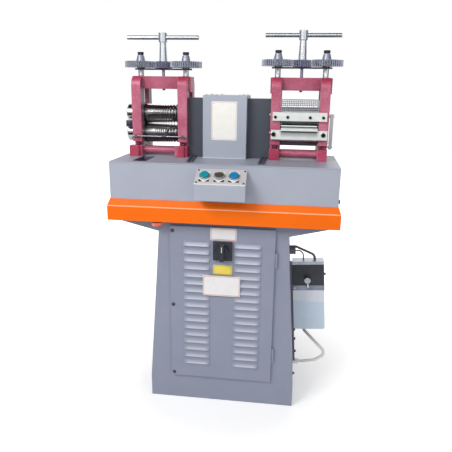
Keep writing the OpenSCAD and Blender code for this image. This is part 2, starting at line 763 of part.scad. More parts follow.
module bridge(rise) color(black) translate([0, 0, bridge_z + rise]) difference() {
    union() {
        box([-screw_x - 8, screw_x + 8], [-13, 13], [0, bridge_t]);
        for (x = [-1, 1]) translate([x * (screw_x + 8), 0, 0]) cylinder(r = 13, h = bridge_t);
    }
    for (x = [-1, 1]) translate([x * screw_x, 0, -eps]) cylinder(r = screw_r + running, h = bridge_t + 2 * eps);
    translate([0, 0, -eps]) cylinder(r = spindle_r + running, h = bridge_t + 2 * eps);
}

module left_bridge() at_head(-1) bridge(0);

module right_bridge() at_head(1) bridge(right_rise);

module pressure_screw(side, rise) color(gear_grey) translate([side * screw_x, 0, 0]) {
    gear_z = set_gear_z + rise;
    gear_top = gear_z + set_gear_h;
    translate([0, 0, upper_block_top - tip_h + clear]) cylinder(r = tip_r, h = tip_h);
    translate([0, 0, upper_block_top + block_play])
        cylinder(r = screw_r, h = gear_top - upper_block_top - block_play);
    translate([0, 0, gear_z - collar_gap + clear]) cylinder(r = screw_r + 3, h = collar_gap);
    translate([0, 0, gear_z]) rotate(180 / set_teeth)
        linear_extrude(set_gear_h) polygon(gear_points(set_teeth, set_module, 0.25));
    translate([0, 0, gear_top]) cylinder(r1 = screw_hub_r, r2 = screw_hub_r - 4.5, h = 20);
    translate([0, 0, gear_top]) cylinder(r = screw_r - 2, h = 24);
    translate([0, 0, gear_top + 22]) cylinder(r = screw_r + 1, h = 9, $fn = 6);
}

module left_outer_screw() at_head(-1) pressure_screw(-1, 0);

module left_inner_screw() at_head(-1) pressure_screw(1, 0);

module right_inner_screw() at_head(1) pressure_screw(-1, right_rise);

module right_outer_screw() at_head(1) pressure_screw(1, right_rise);

module t_handle(rise) color(steel) {
    pinion_z = bridge_z + bridge_t + clear + rise;
    pinion_top = set_gear_z + set_gear_h + rise;
    hub_z = pinion_top + stem_h;
    translate([0, 0, window_top - 5]) cylinder(r = spindle_r, h = pinion_z - window_top + 5 + eps);
    translate([0, 0, pinion_z]) linear_extrude(pinion_top - pinion_z)
        polygon(gear_points(pinion_teeth, set_module, 0.25));
    translate([0, 0, pinion_top]) cylinder(r1 = hub_r - 0.5, r2 = hub_r - 3.5, h = stem_h);
    translate([0, 0, hub_z]) cylinder(r = hub_r, h = hub_h);
    translate([0, 0, hub_z + hub_h / 2]) rod_x(bar_r, [-bar_len / 2, bar_len / 2]);
}

module left_handle() at_head(-1) t_handle(0);

module right_handle() at_head(1) t_handle(right_rise);

module guide_rod() color(steel) at_head(-1) translate([0, -housing_d / 2 - 8, rod_z]) {
    rod_x(rod_r, [-head_side + 2, head_side - 2]);
    for (x = [-1, 1]) translate([x * (screw_x + 2), 0, 0]) rod_y(2 * rod_r, [-5, 8]);
}

module wire_guide() color(dark_steel) at_head(-1) translate([17, -housing_d / 2 - 8, rod_z]) difference() {
    union() {
        rod_x(rod_r + 4, [-7, 7]);
        rotate([0, 35, 0]) box([-3, 3], [-2, 4], [rod_r + 2, 32]);
    }
    rod_x(rod_r + running, [-40, 40]);
}

module feed_bar() color(steel) at_head(1) box([-feed_bar_len / 2, feed_bar_len / 2],
    [-housing_d / 2 - feed_bar_t, -housing_d / 2], [feed_bar_z, feed_bar_z + feed_bar_h]);

// Distance in front of the roll axes that clears the lower roll at a height above the bench
function clear_of_roll(z) = sqrt(pow(roll_d / 2 + plate_gap, 2) - pow(z - low_axis, 2));

module feed_table() color(steel) at_head(1) {
    front = -housing_d / 2 - table_t;
    back = -housing_d / 2 + 2;
    inner = half_open - 4;
    plate_top = low_axis + roll_d / 2 - plate_gap;
    plate_low = plate_top - plate_t;
    ledge = plate_low - plate_shadow;
    along_x([-inner, inner]) polygon([[front, table_z], [front, ledge], [front + table_t / 2, ledge],
        [front + table_t / 2, plate_low], [front - plate_out, plate_low], [front - plate_out, plate_top],
        [-clear_of_roll(plate_top), plate_top], [-clear_of_roll(plate_low), plate_low],
        [back, plate_low], [back, table_z]]);
    for (x = [-1, 1]) box([x > 0 ? inner - eps : -table_len / 2, x > 0 ? table_len / 2 : -inner + eps],
        [front, -housing_d / 2], [table_z, table_z + table_h]);
}

module roll_guard() color(paint_light) at_head(1) difference() {
    w = opening_w - 3;
    rows = floor((guard_h - 4) / guard_pitch);
    columns = floor((w - 4) / guard_pitch);
    y = -housing_d / 2;
    box([-w / 2, w / 2], [y, y + sheet], [feed_bar_z, feed_bar_z + guard_h]);
    for (i = [0:columns - 1], j = [0:rows - 1])
        translate([(i - (columns - 1) / 2) * guard_pitch, 0,
            feed_bar_z + guard_h / 2 + (j - (rows - 1) / 2) * guard_pitch])
            rod_y(guard_pitch * 0.32, [y - eps, y + sheet + eps]);
}

module keeper_bar() color(steel) at_head(1)
    translate([head_side, -(pocket_back + window_w / 2) / 2, foot_h]) {
        box([keeper_gap, keeper_gap + keeper_w], [-5, 5], [0, keeper_h]);
        for (z = [keeper_end, keeper_h - keeper_end]) translate([0, 0, z])
            rod_x(4, [0, keeper_gap + keeper_w + 3]);
    }

module drive_cover() color(paint_light) translate([cover_x, roll_y, top_z]) difference() {
    box([-cover_w / 2, cover_w / 2], [-cover_d / 2, cover_d / 2], [0, cover_h]);
    box([-cover_w / 2 + sheet, cover_w / 2 - sheet], [-cover_d / 2 + sheet, cover_d / 2 - sheet],
        [-eps, cover_h - sheet]);
    translate([0, 0, low_axis]) rod_x(shaft_r + 17, [-cover_w, cover_w]);
}

// Guard from the drive cover to a head, with two hold-down straps that run forward on the bench
module coupling_guard(x, strap_x, splay) {
    front = roll_y - guard_d / 2;
    back = roll_y + guard_d / 2;
    difference() {
        box(x, [front, back], [top_z, top_z + guard_top]);
        box([x[0] - eps, x[1] + eps], [front + sheet, back - sheet], [top_z - eps, top_z + guard_top - sheet]);
    }
    for (i = [0, 1]) translate([strap_x + i * strap_pitch, 0, top_z]) linear_extrude(strap_h)
        polygon([[0, front + sheet / 2], [strap_w, front + sheet / 2],
            [strap_w + splay, -tray_front], [splay, -tray_front]]);
}

module coupling_guards() color(slate) {
    coupling_guard([-head_x + head_side + clear, cover_x - cover_w / 2], left_strap_x, left_splay);
    coupling_guard([cover_x + cover_w / 2, head_x - head_side - clear], right_strap_x, 0);
}

module shaft_bearings() color(dark_steel) for (x = [-72, 30]) translate([x, roll_y, top_z]) difference() {
    union() {
        box([0, 22], [-38, 38], [0, low_axis / 2]);
        box([0, 22], [-28, 28], [0, low_axis]);
        translate([0, 0, low_axis]) rod_x(28, [0, 22]);
    }
    translate([0, 0, low_axis]) rod_x(shaft_r + running, [-eps, 22 + eps]);
}

module drive_shaft() color(steel) translate([0, roll_y, top_z + low_axis]) {
    rod_x(shaft_r, [-shaft_end, shaft_end]);
    for (side = [-1, 1]) translate([side * shaft_end, 0, 0]) difference() {
        rod_x(shaft_r + 11, [-12, 12]);
        rod_x(shaft_r + seat, side < 0 ? [-12 - eps, 0] : [0, 12 + eps]);
    }
}

module pulley(r, bore) difference() {
    union() {
        rod_x(r, [pulley_x - belt_w / 2 - 1, pulley_x + belt_w / 2 + 1]);
        for (x = [-1, 1]) translate([x * (belt_w / 2 + 2), 0, 0])
            rod_x(r + flange_rim, [pulley_x - 1.5, pulley_x + 1.5]);
    }
    if (bore > 0) rod_x(bore, [-base_w, base_w]);
}

module driven_pulley() color(dark_steel) translate([0, roll_y, top_z + low_axis])
    pulley(pulley_r, shaft_r + seat);

module motor_pulley() color(dark_steel) translate([0, roll_y, motor_z]) {
    pulley(motor_pulley_r, 0);
    rod_x(motor_shaft_r, [pulley_x, motor_x + motor_shaft_in]);
}

// Belt loop round both pulleys, grown outwards
module belt_loop(grow) {
    rise = top_z + low_axis - motor_z;
    big = pulley_r + grow;
    small = motor_pulley_r + grow;
    dip = asin((big - small) / rise);
    circle(r = small, $fn = 96);
    translate([0, rise]) circle(r = big, $fn = 96);
    polygon([[small * cos(dip), -small * sin(dip)], [big * cos(dip), rise - big * sin(dip)],
        [-big * cos(dip), rise - big * sin(dip)], [-small * cos(dip), -small * sin(dip)]]);
}

module drive_belt() color(black) translate([0, roll_y, motor_z])
    along_x([pulley_x - belt_w / 2, pulley_x + belt_w / 2]) difference() {
        belt_loop(belt_t + clear);
        belt_loop(clear);
    }

module motor() color(paint_grey) translate([0, roll_y, motor_z]) difference() {
    union() {
        rod_x(motor_r - 6, [motor_x, motor_x + gearbox_len]);
        rod_x(motor_r, [motor_x + gearbox_len, motor_x + motor_len]);
        box([motor_x + 12, motor_x + motor_len - 12], [-motor_r + 6, motor_r - 6],
            [shelf_z + shelf_t - motor_z, -motor_r * 0.7]);
        box([motor_x + motor_len - 80, motor_x + motor_len - 15], [-28, 28], [0, motor_r + 16]);
    }
    rod_x(motor_shaft_r + running, [motor_x - eps, motor_x + motor_shaft_in + 2]);
}

module motor_shelf() color(paint_grey) {
    half = cabinet_half(shelf_z + shelf_t) - sheet - running;
    box([-half, half], [front_y + sheet + 30, base_d / 2 - sheet], [shelf_z, shelf_z + shelf_t]);
}

module electrics_panel() color(paint_light) {
    back = base_d / 2 - sheet;
    top = electrics_z + electrics_h;
    box([electrics_x, electrics_x + electrics_w], [back - 4, back], [electrics_z, top]);
    for (i = [0:2]) translate([electrics_x + 10 + i * contactor_pitch, 0, 0])
        box([0, contactor_w], [back - 50, back - 4], [top - 15 - contactor_h, top - 15]);
    // Terminal strip
    box([electrics_x + 10, electrics_x + electrics_w - 10], [back - 24, back - 4],
        [electrics_z + 15, electrics_z + 50]);
}

module control_box() color(paint_light) translate([control_x, 0, 0]) difference() {
    low = top_z - control_drop;
    along_x([-control_w / 2, control_w / 2]) polygon([[control_back, low], [control_back, panel_z],
        [control_front, panel_z - panel_len * sin(panel_tilt)], [control_front, low]]);
    box([-control_w / 2 + sheet, control_w / 2 - sheet], [control_front + sheet, control_back - sheet],
        [low + sheet, top_z]);
    translate([0, 0, low + 30]) rod_y(10, [control_back - 2 * sheet, control_back + eps]);
}

module at_button(i) on_panel() translate([button_shift + i * button_pitch, button_y, panel_t]) children();

module control_panel() color([0.81, 0.79, 0.80]) difference() {
    union() {
        on_panel() box([-control_w / 2, control_w / 2], [-panel_len, 0], [0, panel_t]);
        for (i = [-1:1]) at_button(i) cylinder(r = button_r + clear + 2.2, h = 5);
    }
    for (i = [-1:1]) at_button(i) translate([0, 0, -panel_t - eps])
        cylinder(r = button_r + clear, h = panel_t + 6 + eps);
}

module push_button(i) at_button(i) {
    cylinder(r = button_r, h = 10);
    translate([0, 0, -14]) cylinder(r = 7, h = 15);
}

module start_button() color([0.11, 0.60, 0.66]) push_button(-1);

module stop_button() color([0.12, 0.53, 0.75]) push_button(1);

module selector() color([0.35, 0.34, 0.33]) at_button(0) {
    cylinder(r = button_r, h = 8);
    box([-button_r + 1, button_r - 1], [-3.5, 3.5], [8, 15]);
    translate([0, 0, -14]) cylinder(r = 7, h = 15);
}

module emergency_button() color([0.85, 0.12, 0.10]) translate([emergency_x, emergency_y, bench_z]) {
    translate([0, 0, -emergency_drop]) cylinder(r1 = emergency_r - 5, r2 = emergency_r, h = 6);
    translate([0, 0, -emergency_drop + 6]) cylinder(r = emergency_r, h = emergency_drop - 12);
    translate([0, 0, -8]) cylinder(r = 9, h = 24);
}

module pump_bracket() color(dark_steel) on_side()
    box([0, bracket_t], [-pump_d / 2 + 3, pump_d / 2 - 3], [30, lid_z]);

// Front view of the tank with round lower corners, drawn in by a wall
module tank_outline(wall, rise) {
    r = tank_r - wall;
    left = bracket_t + wall;
    right = bracket_t + pump_w - wall;
    low = tank_z + wall;
    top = tank_z + tank_h + rise;
    translate([left, low + r]) square([right - left, top - low - r]);
    translate([left + r, low]) square([right - left - 2 * r, top - low]);
    for (x = [left + r, right - r]) translate([x, low + r]) circle(r = r);
}

module oil_tank() color([0.69, 0.75, 0.81]) on_side() difference() {
    along_y([-pump_d / 2, pump_d / 2]) tank_outline(0, 0);
    along_y([-pump_d / 2 + tank_t, pump_d / 2 - tank_t]) tank_outline(tank_t, eps);
}

module at_knob() translate([bracket_t + pump_w * 0.47, -pump_d / 2, lid_z - knob_drop]) children();

module pump_housing() color(black) on_side() difference() {
    union() {
        box([bracket_t, bracket_t + pump_w], [-pump_d / 2, pump_d / 2], [tank_z + tank_h, lid_z]);
        translate([bracket_t + pump_w, 0, lid_z - stud_drop]) rod_x(4, [0, 7]);
    }
    at_knob() rod_y(4 + running, [-eps, 30]);
}

module pump_knob() color(steel) on_side() at_knob() {
    rod_y(4, [-6, 28]);
    rod_y(knob_r, [-18, -4]);
}

module pump_lid() color([0.79, 0.80, 0.82]) on_side()
    box([bracket_t, bracket_t + pump_w], [-pump_d / 2, pump_d / 2], [lid_z, lid_top]);

module oil_pipes() color([0.42, 0.35, 0.34]) on_side() {
    pipe(feed_route, feed_pipe_r);
    pipe(vent_route, vent_pipe_r);
}

module return_pipe() color([0.62, 0.61, 0.60]) on_side() pipe(return_route, return_pipe_r);

module glands() color(dark_steel) {
    on_side() {
        box([0, block_out], [-12, 12], [block_z, block_z + block_h]);
        translate([0, 0, gland_z]) rod_x(gland_r, [0, gland_len]);
    }
    translate([mains_x, 0, mains_z]) rod_y(12, [base_d / 2, base_d / 2 + 10]);
}

module tray_cover(side, x) color(paint_light) difference() {
    mid = side * head_x + (x[0] + x[1]) / 2;
    box([side * head_x + x[0], side * head_x + x[1]], [-tray_front + clear, -tray_front + tray_d - clear],
        [top_z - cover_t, top_z]);
    // Finger slot
    box([mid - 9, mid + 9], [-tray_front + tray_d / 2 - 3, -tray_front + tray_d / 2 + 3],
        [top_z - 2 * cover_t, top_z + eps]);
}

module left_tray_cover() tray_cover(-1, [half_open - 2 - clear - left_cover_w, half_open - 2 - clear]);

module right_tray_cover() tray_cover(1, [-half_open + 2 + clear, half_open - 2 - clear]);

plinth();
cabinet();
door_hinges();
bench_shell();
bench_top();
apron();
left_frame();
right_frame();
lower_chocks();
pressure_nuts();
foot_bolts();
shaft_bearings();
drive_cover();
coupling_guards();
guide_rod();
feed_bar();
feed_table();
roll_guard();
keeper_bar();
control_box();
control_panel();
motor_shelf();
motor();
drive_belt();
electrics_panel();
glands();
pump_bracket();
pump_housing();
pump_lid();
oil_tank();
oil_pipes();
return_pipe();
door();
isolator_base();
isolator_handle();
start_button();
selector();
stop_button();
emergency_button();
pump_knob();
wire_guide();
left_tray_cover();
right_tray_cover();
drive_shaft();
driven_pulley();
left_lower_roll();
right_lower_roll();
motor_pulley();
left_upper_roll();
left_upper_chocks();
left_bridge();
left_outer_screw();
left_inner_screw();
left_handle();
right_upper_roll();
right_upper_chocks();
right_bridge();
right_outer_screw();
right_inner_screw();
right_handle();
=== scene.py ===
import math

import bmesh
import bpy
from mathutils import Matrix, Vector


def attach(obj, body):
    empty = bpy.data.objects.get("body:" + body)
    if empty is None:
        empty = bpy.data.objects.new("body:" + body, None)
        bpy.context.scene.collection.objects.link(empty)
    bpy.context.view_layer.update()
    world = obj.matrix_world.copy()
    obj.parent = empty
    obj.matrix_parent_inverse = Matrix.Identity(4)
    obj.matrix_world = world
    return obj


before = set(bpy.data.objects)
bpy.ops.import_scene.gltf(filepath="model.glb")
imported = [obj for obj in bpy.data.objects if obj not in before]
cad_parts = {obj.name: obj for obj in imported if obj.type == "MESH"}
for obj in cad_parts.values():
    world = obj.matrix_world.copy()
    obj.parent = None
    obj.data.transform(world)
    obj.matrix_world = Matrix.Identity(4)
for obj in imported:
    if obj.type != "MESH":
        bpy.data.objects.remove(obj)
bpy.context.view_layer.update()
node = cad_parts


# Studio. A white sweep under a large soft lamp from the upper left, a strip lamp in front and a weak fill.
# The camera stands at chest height, a little to the right of the machine, and looks slightly down.
def srgb(code):
    parts = [int(code[i:i + 2], 16) / 255 for i in (1, 3, 5)]
    return [p / 12.92 if p <= 0.04045 else ((p + 0.055) / 1.055) ** 2.4 for p in parts] + [1.0]


def add(tree, kind, links=None, **settings):
    made = tree.nodes.new(kind)
    for key, value in settings.items():
        setattr(made, key, value)
    for key, value in (links or {}).items():
        if isinstance(value, bpy.types.NodeSocket):
            tree.links.new(value, made.inputs[key])
        else:
            made.inputs[key].default_value = value
    return made


scene = bpy.context.scene
scene.view_settings.view_transform = "Standard"
yaw, pitch, lean = (math.radians(a) for a in (7.259, 15.337, 0.757))
ahead = Vector((-math.sin(yaw) * math.cos(pitch), math.cos(yaw) * math.cos(pitch), -math.sin(pitch)))
level = Vector((math.cos(yaw), math.sin(yaw), 0))
over = level.cross(ahead)
across = math.cos(lean) * level + math.sin(lean) * over
upward = math.cos(lean) * over - math.sin(lean) * level
camera = bpy.data.objects.new("camera", bpy.data.cameras.new("camera"))
camera.data.lens, camera.data.sensor_width = 40.16, 36
camera.matrix_world = Matrix((across, upward, -ahead)).transposed().to_4x4()
camera.location = (0.2161, -1.7395, 1.1096)
scene.collection.objects.link(camera)
scene.camera = camera

world = bpy.data.worlds.new("white_sweep")
scene.world = world
world.use_nodes = True
tree = world.node_tree
ray = add(tree, "ShaderNodeLightPath").outputs
seen = add(tree, "ShaderNodeMath", {0: ray["Is Camera Ray"], 1: ray["Is Glossy Ray"]},
           operation="MAXIMUM").outputs[0]
seen = add(tree, "ShaderNodeMath", {0: seen, 1: ray["Is Transmission Ray"]}, operation="MAXIMUM").outputs[0]
level_of = add(tree, "ShaderNodeMapRange", {"Value": seen, "To Min": 0.30, "To Max": 1.0}).outputs[0]
tree.links.new(level_of, tree.nodes["Background"].inputs["Strength"])
tree.nodes["Background"].inputs["Color"].default_value = srgb("#FFFFFF")


def fresh(name):
    made = bpy.data.materials.new(name)
    made.use_nodes = True
    return made, made.node_tree, made.node_tree.nodes["Principled BSDF"]


ground = bpy.data.meshes.new("studio_floor")
floor_reach, floor_z = 9, -0.0006
corners = [(x * floor_reach, y * floor_reach, floor_z) for x, y in ((-1, -1), (1, -1), (1, 1), (-1, 1))]
ground.from_pydata(corners, [], [(0, 1, 2, 3)])
floor = bpy.data.objects.new("studio_floor", ground)
scene.collection.objects.link(floor)
paper, tree, skin = fresh("matt_white_paper")
grain = add(tree, "ShaderNodeTexNoise", {"Scale": 900.0, "Detail": 2.0})
tone = add(tree, "ShaderNodeMix", {0: grain.outputs["Fac"], 6: srgb("#F1F1F1"), 7: srgb("#F7F7F7")},
           data_type="RGBA").outputs[2]
tree.links.new(tone, skin.inputs["Base Color"])
skin.inputs["Roughness"].default_value = 0.9
ray = add(tree, "ShaderNodeLightPath").outputs
seen = add(tree, "ShaderNodeMath", {0: ray["Is Camera Ray"], 1: ray["Is Glossy Ray"]},
           operation="MAXIMUM").outputs[0]
place = add(tree, "ShaderNodeTexCoord").outputs["Object"]
reach = add(tree, "ShaderNodeVectorMath", {0: place}, operation="LENGTH")
white = add(tree, "ShaderNodeMapRange", {"Value": reach.outputs["Value"], "From Min": 0.30, "From Max": 1.1,
                                         "To Min": 0.30, "To Max": 1.0}).outputs[0]
glow = add(tree, "ShaderNodeMath", {0: seen, 1: white}, operation="MULTIPLY").outputs[0]
tree.links.new(glow, skin.inputs["Emission Strength"])
skin.inputs["Emission Color"].default_value = srgb("#FFFFFF")
ground.materials.append(paper)

for name, place, aim, size, power in (
        ("key_lamp", (-1.5, -2.1, 2.6), (0, 0, 0.8), (1.4, 1.0), 54),
        ("strip_lamp", (0.1, -2.7, 2.2), (0, 0, 0.9), (3.0, 0.3), 20),
        ("fill_lamp", (2.4, -2.2, 1.2), (0, 0, 0.6), (1.6, 1.6), 10),
        ("back_lamp", (0.6, 2.4, 2.4), (0, 0, 0.8), (1.6, 1.0), 13)):
    lamp = bpy.data.lights.new(name, "AREA")
    lamp.shape, lamp.size, lamp.size_y, lamp.energy = "RECTANGLE", size[0], size[1], power
    hung = bpy.data.objects.new(name, lamp)
    hung.location = place
    hung.rotation_euler = (Vector(aim) - Vector(place)).to_track_quat("-Z", "Y").to_euler()
    scene.collection.objects.link(hung)

# Grey felt cards on both sides of the studio, above it and on the floor, seen in reflections only.
# Bright metal shows them as dark edges.
felt, tree, skin = fresh("dark_grey_felt")
nap = add(tree, "ShaderNodeTexNoise", {"Scale": 300.0, "Detail": 3.0})
tone = add(tree, "ShaderNodeMix", {0: nap.outputs["Fac"], 6: srgb("#2A2A2E"), 7: srgb("#36363B")},
           data_type="RGBA").outputs[2]
tree.links.new(tone, skin.inputs["Base Color"])
skin.inputs["Roughness"].default_value = 1.0
for name, corners in (
        ("left_card", [(-2.4, -0.5, 0.5), (-2.4, 1.0, 0.5), (-2.4, 1.0, 2.3), (-2.4, -0.5, 2.3)]),
        ("right_card", [(2.4, -0.7, 0.5), (2.4, 1.0, 0.5), (2.4, 1.0, 2.3), (2.4, -0.7, 2.3)]),
        ("upper_card", [(-2.0, -1.2, 3.4), (2.0, -1.2, 3.4), (2.0, 1.6, 3.4), (-2.0, 1.6, 3.4)]),
        ("low_card", [(-2.0, -2.6, 0.02), (2.0, -2.6, 0.02), (2.0, -2.6, 0.90), (-2.0, -2.6, 0.90)]),
        ("floor_card", [(-2.0, -2.6, 0.02), (2.0, -2.6, 0.02), (2.0, -1.3, 0.02), (-2.0, -1.3, 0.02)])):
    sheet = bpy.data.meshes.new(name)
    sheet.from_pydata(corners, [], [(0, 1, 2, 3)])
    sheet.materials.append(felt)
    card = bpy.data.objects.new(name, sheet)
    scene.collection.objects.link(card)
    card.visible_camera = card.visible_diffuse = card.visible_shadow = False


# Pedestal. Welded sheet steel plinth and tapered cabinet with wings that carry the bench, stove enamelled
# in lavender grey. The enamel is satin, with fine orange peel and a lighter line along edges, partly thinner
# enamel and partly a painted highlight.
def enamel(name, colour, shade, edge, rough, grain_mm):
    made, tree, skin = fresh(name)
    place = add(tree, "ShaderNodeTexCoord").outputs["Object"]
    cloud = add(tree, "ShaderNodeTexNoise", {"Vector": place, "Scale": 8.0, "Detail": 5.0,
                                             "Roughness": 0.6}).outputs["Fac"]
    tone = add(tree, "ShaderNodeMix", {0: cloud, 6: srgb(shade), 7: srgb(colour)},
               data_type="RGBA").outputs[2]
    rounded = add(tree, "ShaderNodeBevel", {"Radius": 0.0016}, samples=4)
    true = add(tree, "ShaderNodeNewGeometry").outputs["Normal"]
    turn = add(tree, "ShaderNodeVectorMath", {0: rounded.outputs[0], 1: true},
               operation="DOT_PRODUCT").outputs["Value"]
    # The edge colour is mixed in along rounded edges: mostly a painted highlight, partly thinner enamel.
    rim = add(tree, "ShaderNodeMapRange", {"Value": turn, "From Min": 0.985, "From Max": 0.80,
                                           "To Min": 0.0, "To Max": 0.55}).outputs[0]
    edge_highlight_and_wear = add(tree, "ShaderNodeMix", {0: rim, 6: tone, 7: srgb(edge)}, data_type="RGBA").outputs[2]
    tree.links.new(edge_highlight_and_wear, skin.inputs["Base Color"])
    peel = add(tree, "ShaderNodeTexNoise", {"Vector": place, "Scale": 1000 / grain_mm,
                                            "Detail": 2.0}).outputs["Fac"]
    dull = add(tree, "ShaderNodeMapRange", {"Value": peel, "To Min": rough - 0.06,
                                            "To Max": rough + 0.08}).outputs[0]
    tree.links.new(dull, skin.inputs["Roughness"])
    bump = add(tree, "ShaderNodeBump", {"Height": peel, "Normal": rounded.outputs[0],
                                        "Strength": 0.25, "Distance": 0.0003})
    tree.links.new(bump.outputs[0], skin.inputs["Normal"])
    return made


def finish_of(names, finish):
    for name in names:
        node[name].data.materials.clear()
        node[name].data.materials.append(finish)


pedestal_enamel = enamel("stove_enamel_lavender_grey", "#9197AA", "#868C9F", "#B2B7C6", 0.42, 4)
finish_of(["plinth", "cabinet", "door_hinges", "motor_shelf"], pedestal_enamel)

# Motor with its gearbox, bolted to the shelf inside the cabinet: ribbed cast aluminium, sprayed a darker
# grey after casting, so it is matt and slightly grainy. The ribs carry the heat away.
motor_paint = enamel("sprayed_casting_grey", "#7A7F8C", "#6A6F7C", "#98A0AB", 0.6, 2.5)
finish_of(["motor"], motor_paint)


def piece(name, form, finish, body, smooth=35):
    mesh = bpy.data.meshes.new(name)
    bmesh.ops.recalc_face_normals(form, faces=form.faces)
    form.to_mesh(mesh)
    form.free()
    for face in mesh.polygons:
        face.use_smooth = True
    mesh.set_sharp_from_angle(angle=math.radians(smooth))
    for one in finish if isinstance(finish, (list, tuple)) else [finish]:
        mesh.materials.append(one)
    made = bpy.data.objects.new(name, mesh)
    scene.collection.objects.link(made)
    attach(made, body)


def block(form, low, high, at=Matrix(), soften=0.0, index=0):
    corner = [[(low[i], high[i])[k >> i & 1] for i in range(3)] for k in range(8)]
    point = [form.verts.new(at @ Vector(c)) for c in corner]
    faces = [form.faces.new([point[i] for i in side]) for side in (
        (0, 2, 3, 1), (4, 5, 7, 6), (0, 1, 5, 4), (2, 6, 7, 3), (0, 4, 6, 2), (1, 3, 7, 5))]
    if soften:
        edges = list({e for f in faces for e in f.edges})
        cut = bmesh.ops.bevel(form, geom=edges, offset=soften, segments=3, profile=0.6, affect="EDGES")
        faces = list({f for f in cut["faces"]} | {f for f in faces if f.is_valid})
    for face in faces:
        face.material_index = index


rib_count, motor_y, motor_z = 40, 0.05, 0.43
ribs = bmesh.new()
for i in range(rib_count):
    turned = Matrix.Rotation(math.radians(360 / rib_count * (i + 0.5)), 4, "X")
    turned = Matrix.Translation((0, motor_y, motor_z)) @ turned
    block(ribs, (0.098, -0.0011, 0.0655), (0.181, 0.0011, 0.0715), turned, 0.0006)
piece("motor_ribs", ribs, motor_paint, "base")


# Contactors and terminal strip on the electrics panel: zinc-plated plate, pale moulded blocks with brass
# terminal screws in rows. They hang on the cabinet's back wall. The plastic's grain and the metal's tool
# lines are drawn coarser than life, so that they show.
def moulded(name, colour, shade, rough, grain_mm):
    made, tree, skin = fresh(name)
    place = add(tree, "ShaderNodeTexCoord").outputs["Object"]
    fleck = add(tree, "ShaderNodeTexNoise", {"Vector": place, "Scale": 1000 / grain_mm,
                                             "Detail": 3.0}).outputs["Fac"]
    cloud = add(tree, "ShaderNodeTexNoise", {"Vector": place, "Scale": 40.0, "Detail": 3.0}).outputs["Fac"]
    tone = add(tree, "ShaderNodeMix", {0: cloud, 6: srgb(shade), 7: srgb(colour)},
               data_type="RGBA").outputs[2]
    tree.links.new(tone, skin.inputs["Base Color"])
    dull = add(tree, "ShaderNodeMapRange", {"Value": fleck, "To Min": rough - 0.08,
                                            "To Max": rough + 0.08}).outputs[0]
    tree.links.new(dull, skin.inputs["Roughness"])
    rounded = add(tree, "ShaderNodeBevel", {"Radius": 0.0012}, samples=4)
    bump = add(tree, "ShaderNodeBump", {"Height": fleck, "Normal": rounded.outputs[0],
                                        "Strength": 0.2, "Distance": 0.0002})
    tree.links.new(bump.outputs[0], skin.inputs["Normal"])
    skin.inputs["IOR"].default_value = 1.5
    return made


def metal(name, colour, shade, rough, lines, bump_mm=0.02):
    made, tree, skin = fresh(name)
    skin.inputs["Metallic"].default_value = 1.0
    place = add(tree, "ShaderNodeTexCoord").outputs["Object"]
    drawn = add(tree, "ShaderNodeMapping", {"Vector": place, "Scale": lines})
    streak = add(tree, "ShaderNodeTexNoise", {"Vector": drawn.outputs[0], "Scale": 1.0,
                                              "Detail": 4.0}).outputs["Fac"]
    stain_and_shadow = add(tree, "ShaderNodeTexNoise", {"Vector": place, "Scale": 30.0, "Detail": 4.0}).outputs["Fac"]
    both = add(tree, "ShaderNodeMath", {0: streak, 1: stain_and_shadow}, operation="MULTIPLY").outputs[0]
    amount = add(tree, "ShaderNodeMapRange", {"Value": both, "From Min": 0.12, "From Max": 0.40}).outputs[0]
    tone = add(tree, "ShaderNodeMix", {0: amount, 6: srgb(shade), 7: srgb(colour)},
               data_type="RGBA").outputs[2]
    tree.links.new(tone, skin.inputs["Base Color"])
    dull = add(tree, "ShaderNodeMapRange", {"Value": streak, "To Min": rough + 0.07,
                                            "To Max": rough - 0.05}).outputs[0]
    tree.links.new(dull, skin.inputs["Roughness"])
    rounded = add(tree, "ShaderNodeBevel", {"Radius": 0.0008}, samples=4)
    bump = add(tree, "ShaderNodeBump", {"Height": streak, "Normal": rounded.outputs[0],
                                        "Strength": 0.3, "Distance": bump_mm / 1000})
    tree.links.new(bump.outputs[0], skin.inputs["Normal"])
    return made


relay_grey = moulded("moulded_polyamide_pale_grey", "#C4C7C6", "#B6BAB9", 0.5, 1.5)
finish_of(["electrics_panel"], relay_grey)
terminal_brass = metal("turned_brass", "#C9A24F", "#9A7430", 0.32, (400, 400, 400))


def lathe(form, profile, at, sides=32, index=0):
    rings = []
    for radius, height in profile:
        if radius < 1e-7:
            rings.append([form.verts.new(at @ Vector((0, 0, height)))])
        else:
            rings.append([form.verts.new(at @ Vector((radius * math.cos(2 * math.pi * k / sides),
                                                      radius * math.sin(2 * math.pi * k / sides), height)))
                          for k in range(sides)])
    for lower, upper in zip(rings, rings[1:]):
        for k in range(sides):
            j = (k + 1) % sides
            corners = ((lower, k), (lower, j), (upper, j), (upper, k))
            loop = [ring[m % len(ring)] for ring, m in corners]
            loop = [v for i, v in enumerate(loop) if v not in loop[:i]]
            form.faces.new(loop).material_index = index


def facing(x, y, z, way):
    turn = {"+X": Matrix.Rotation(math.pi / 2, 4, "Y"), "-X": Matrix.Rotation(-math.pi / 2, 4, "Y"),
            "-Y": Matrix.Rotation(math.pi / 2, 4, "X"),
            "+Z": Matrix(), "-Z": Matrix.Rotation(math.pi, 4, "X")}[way]
    return Matrix.Translation((x, y, z)) @ turn


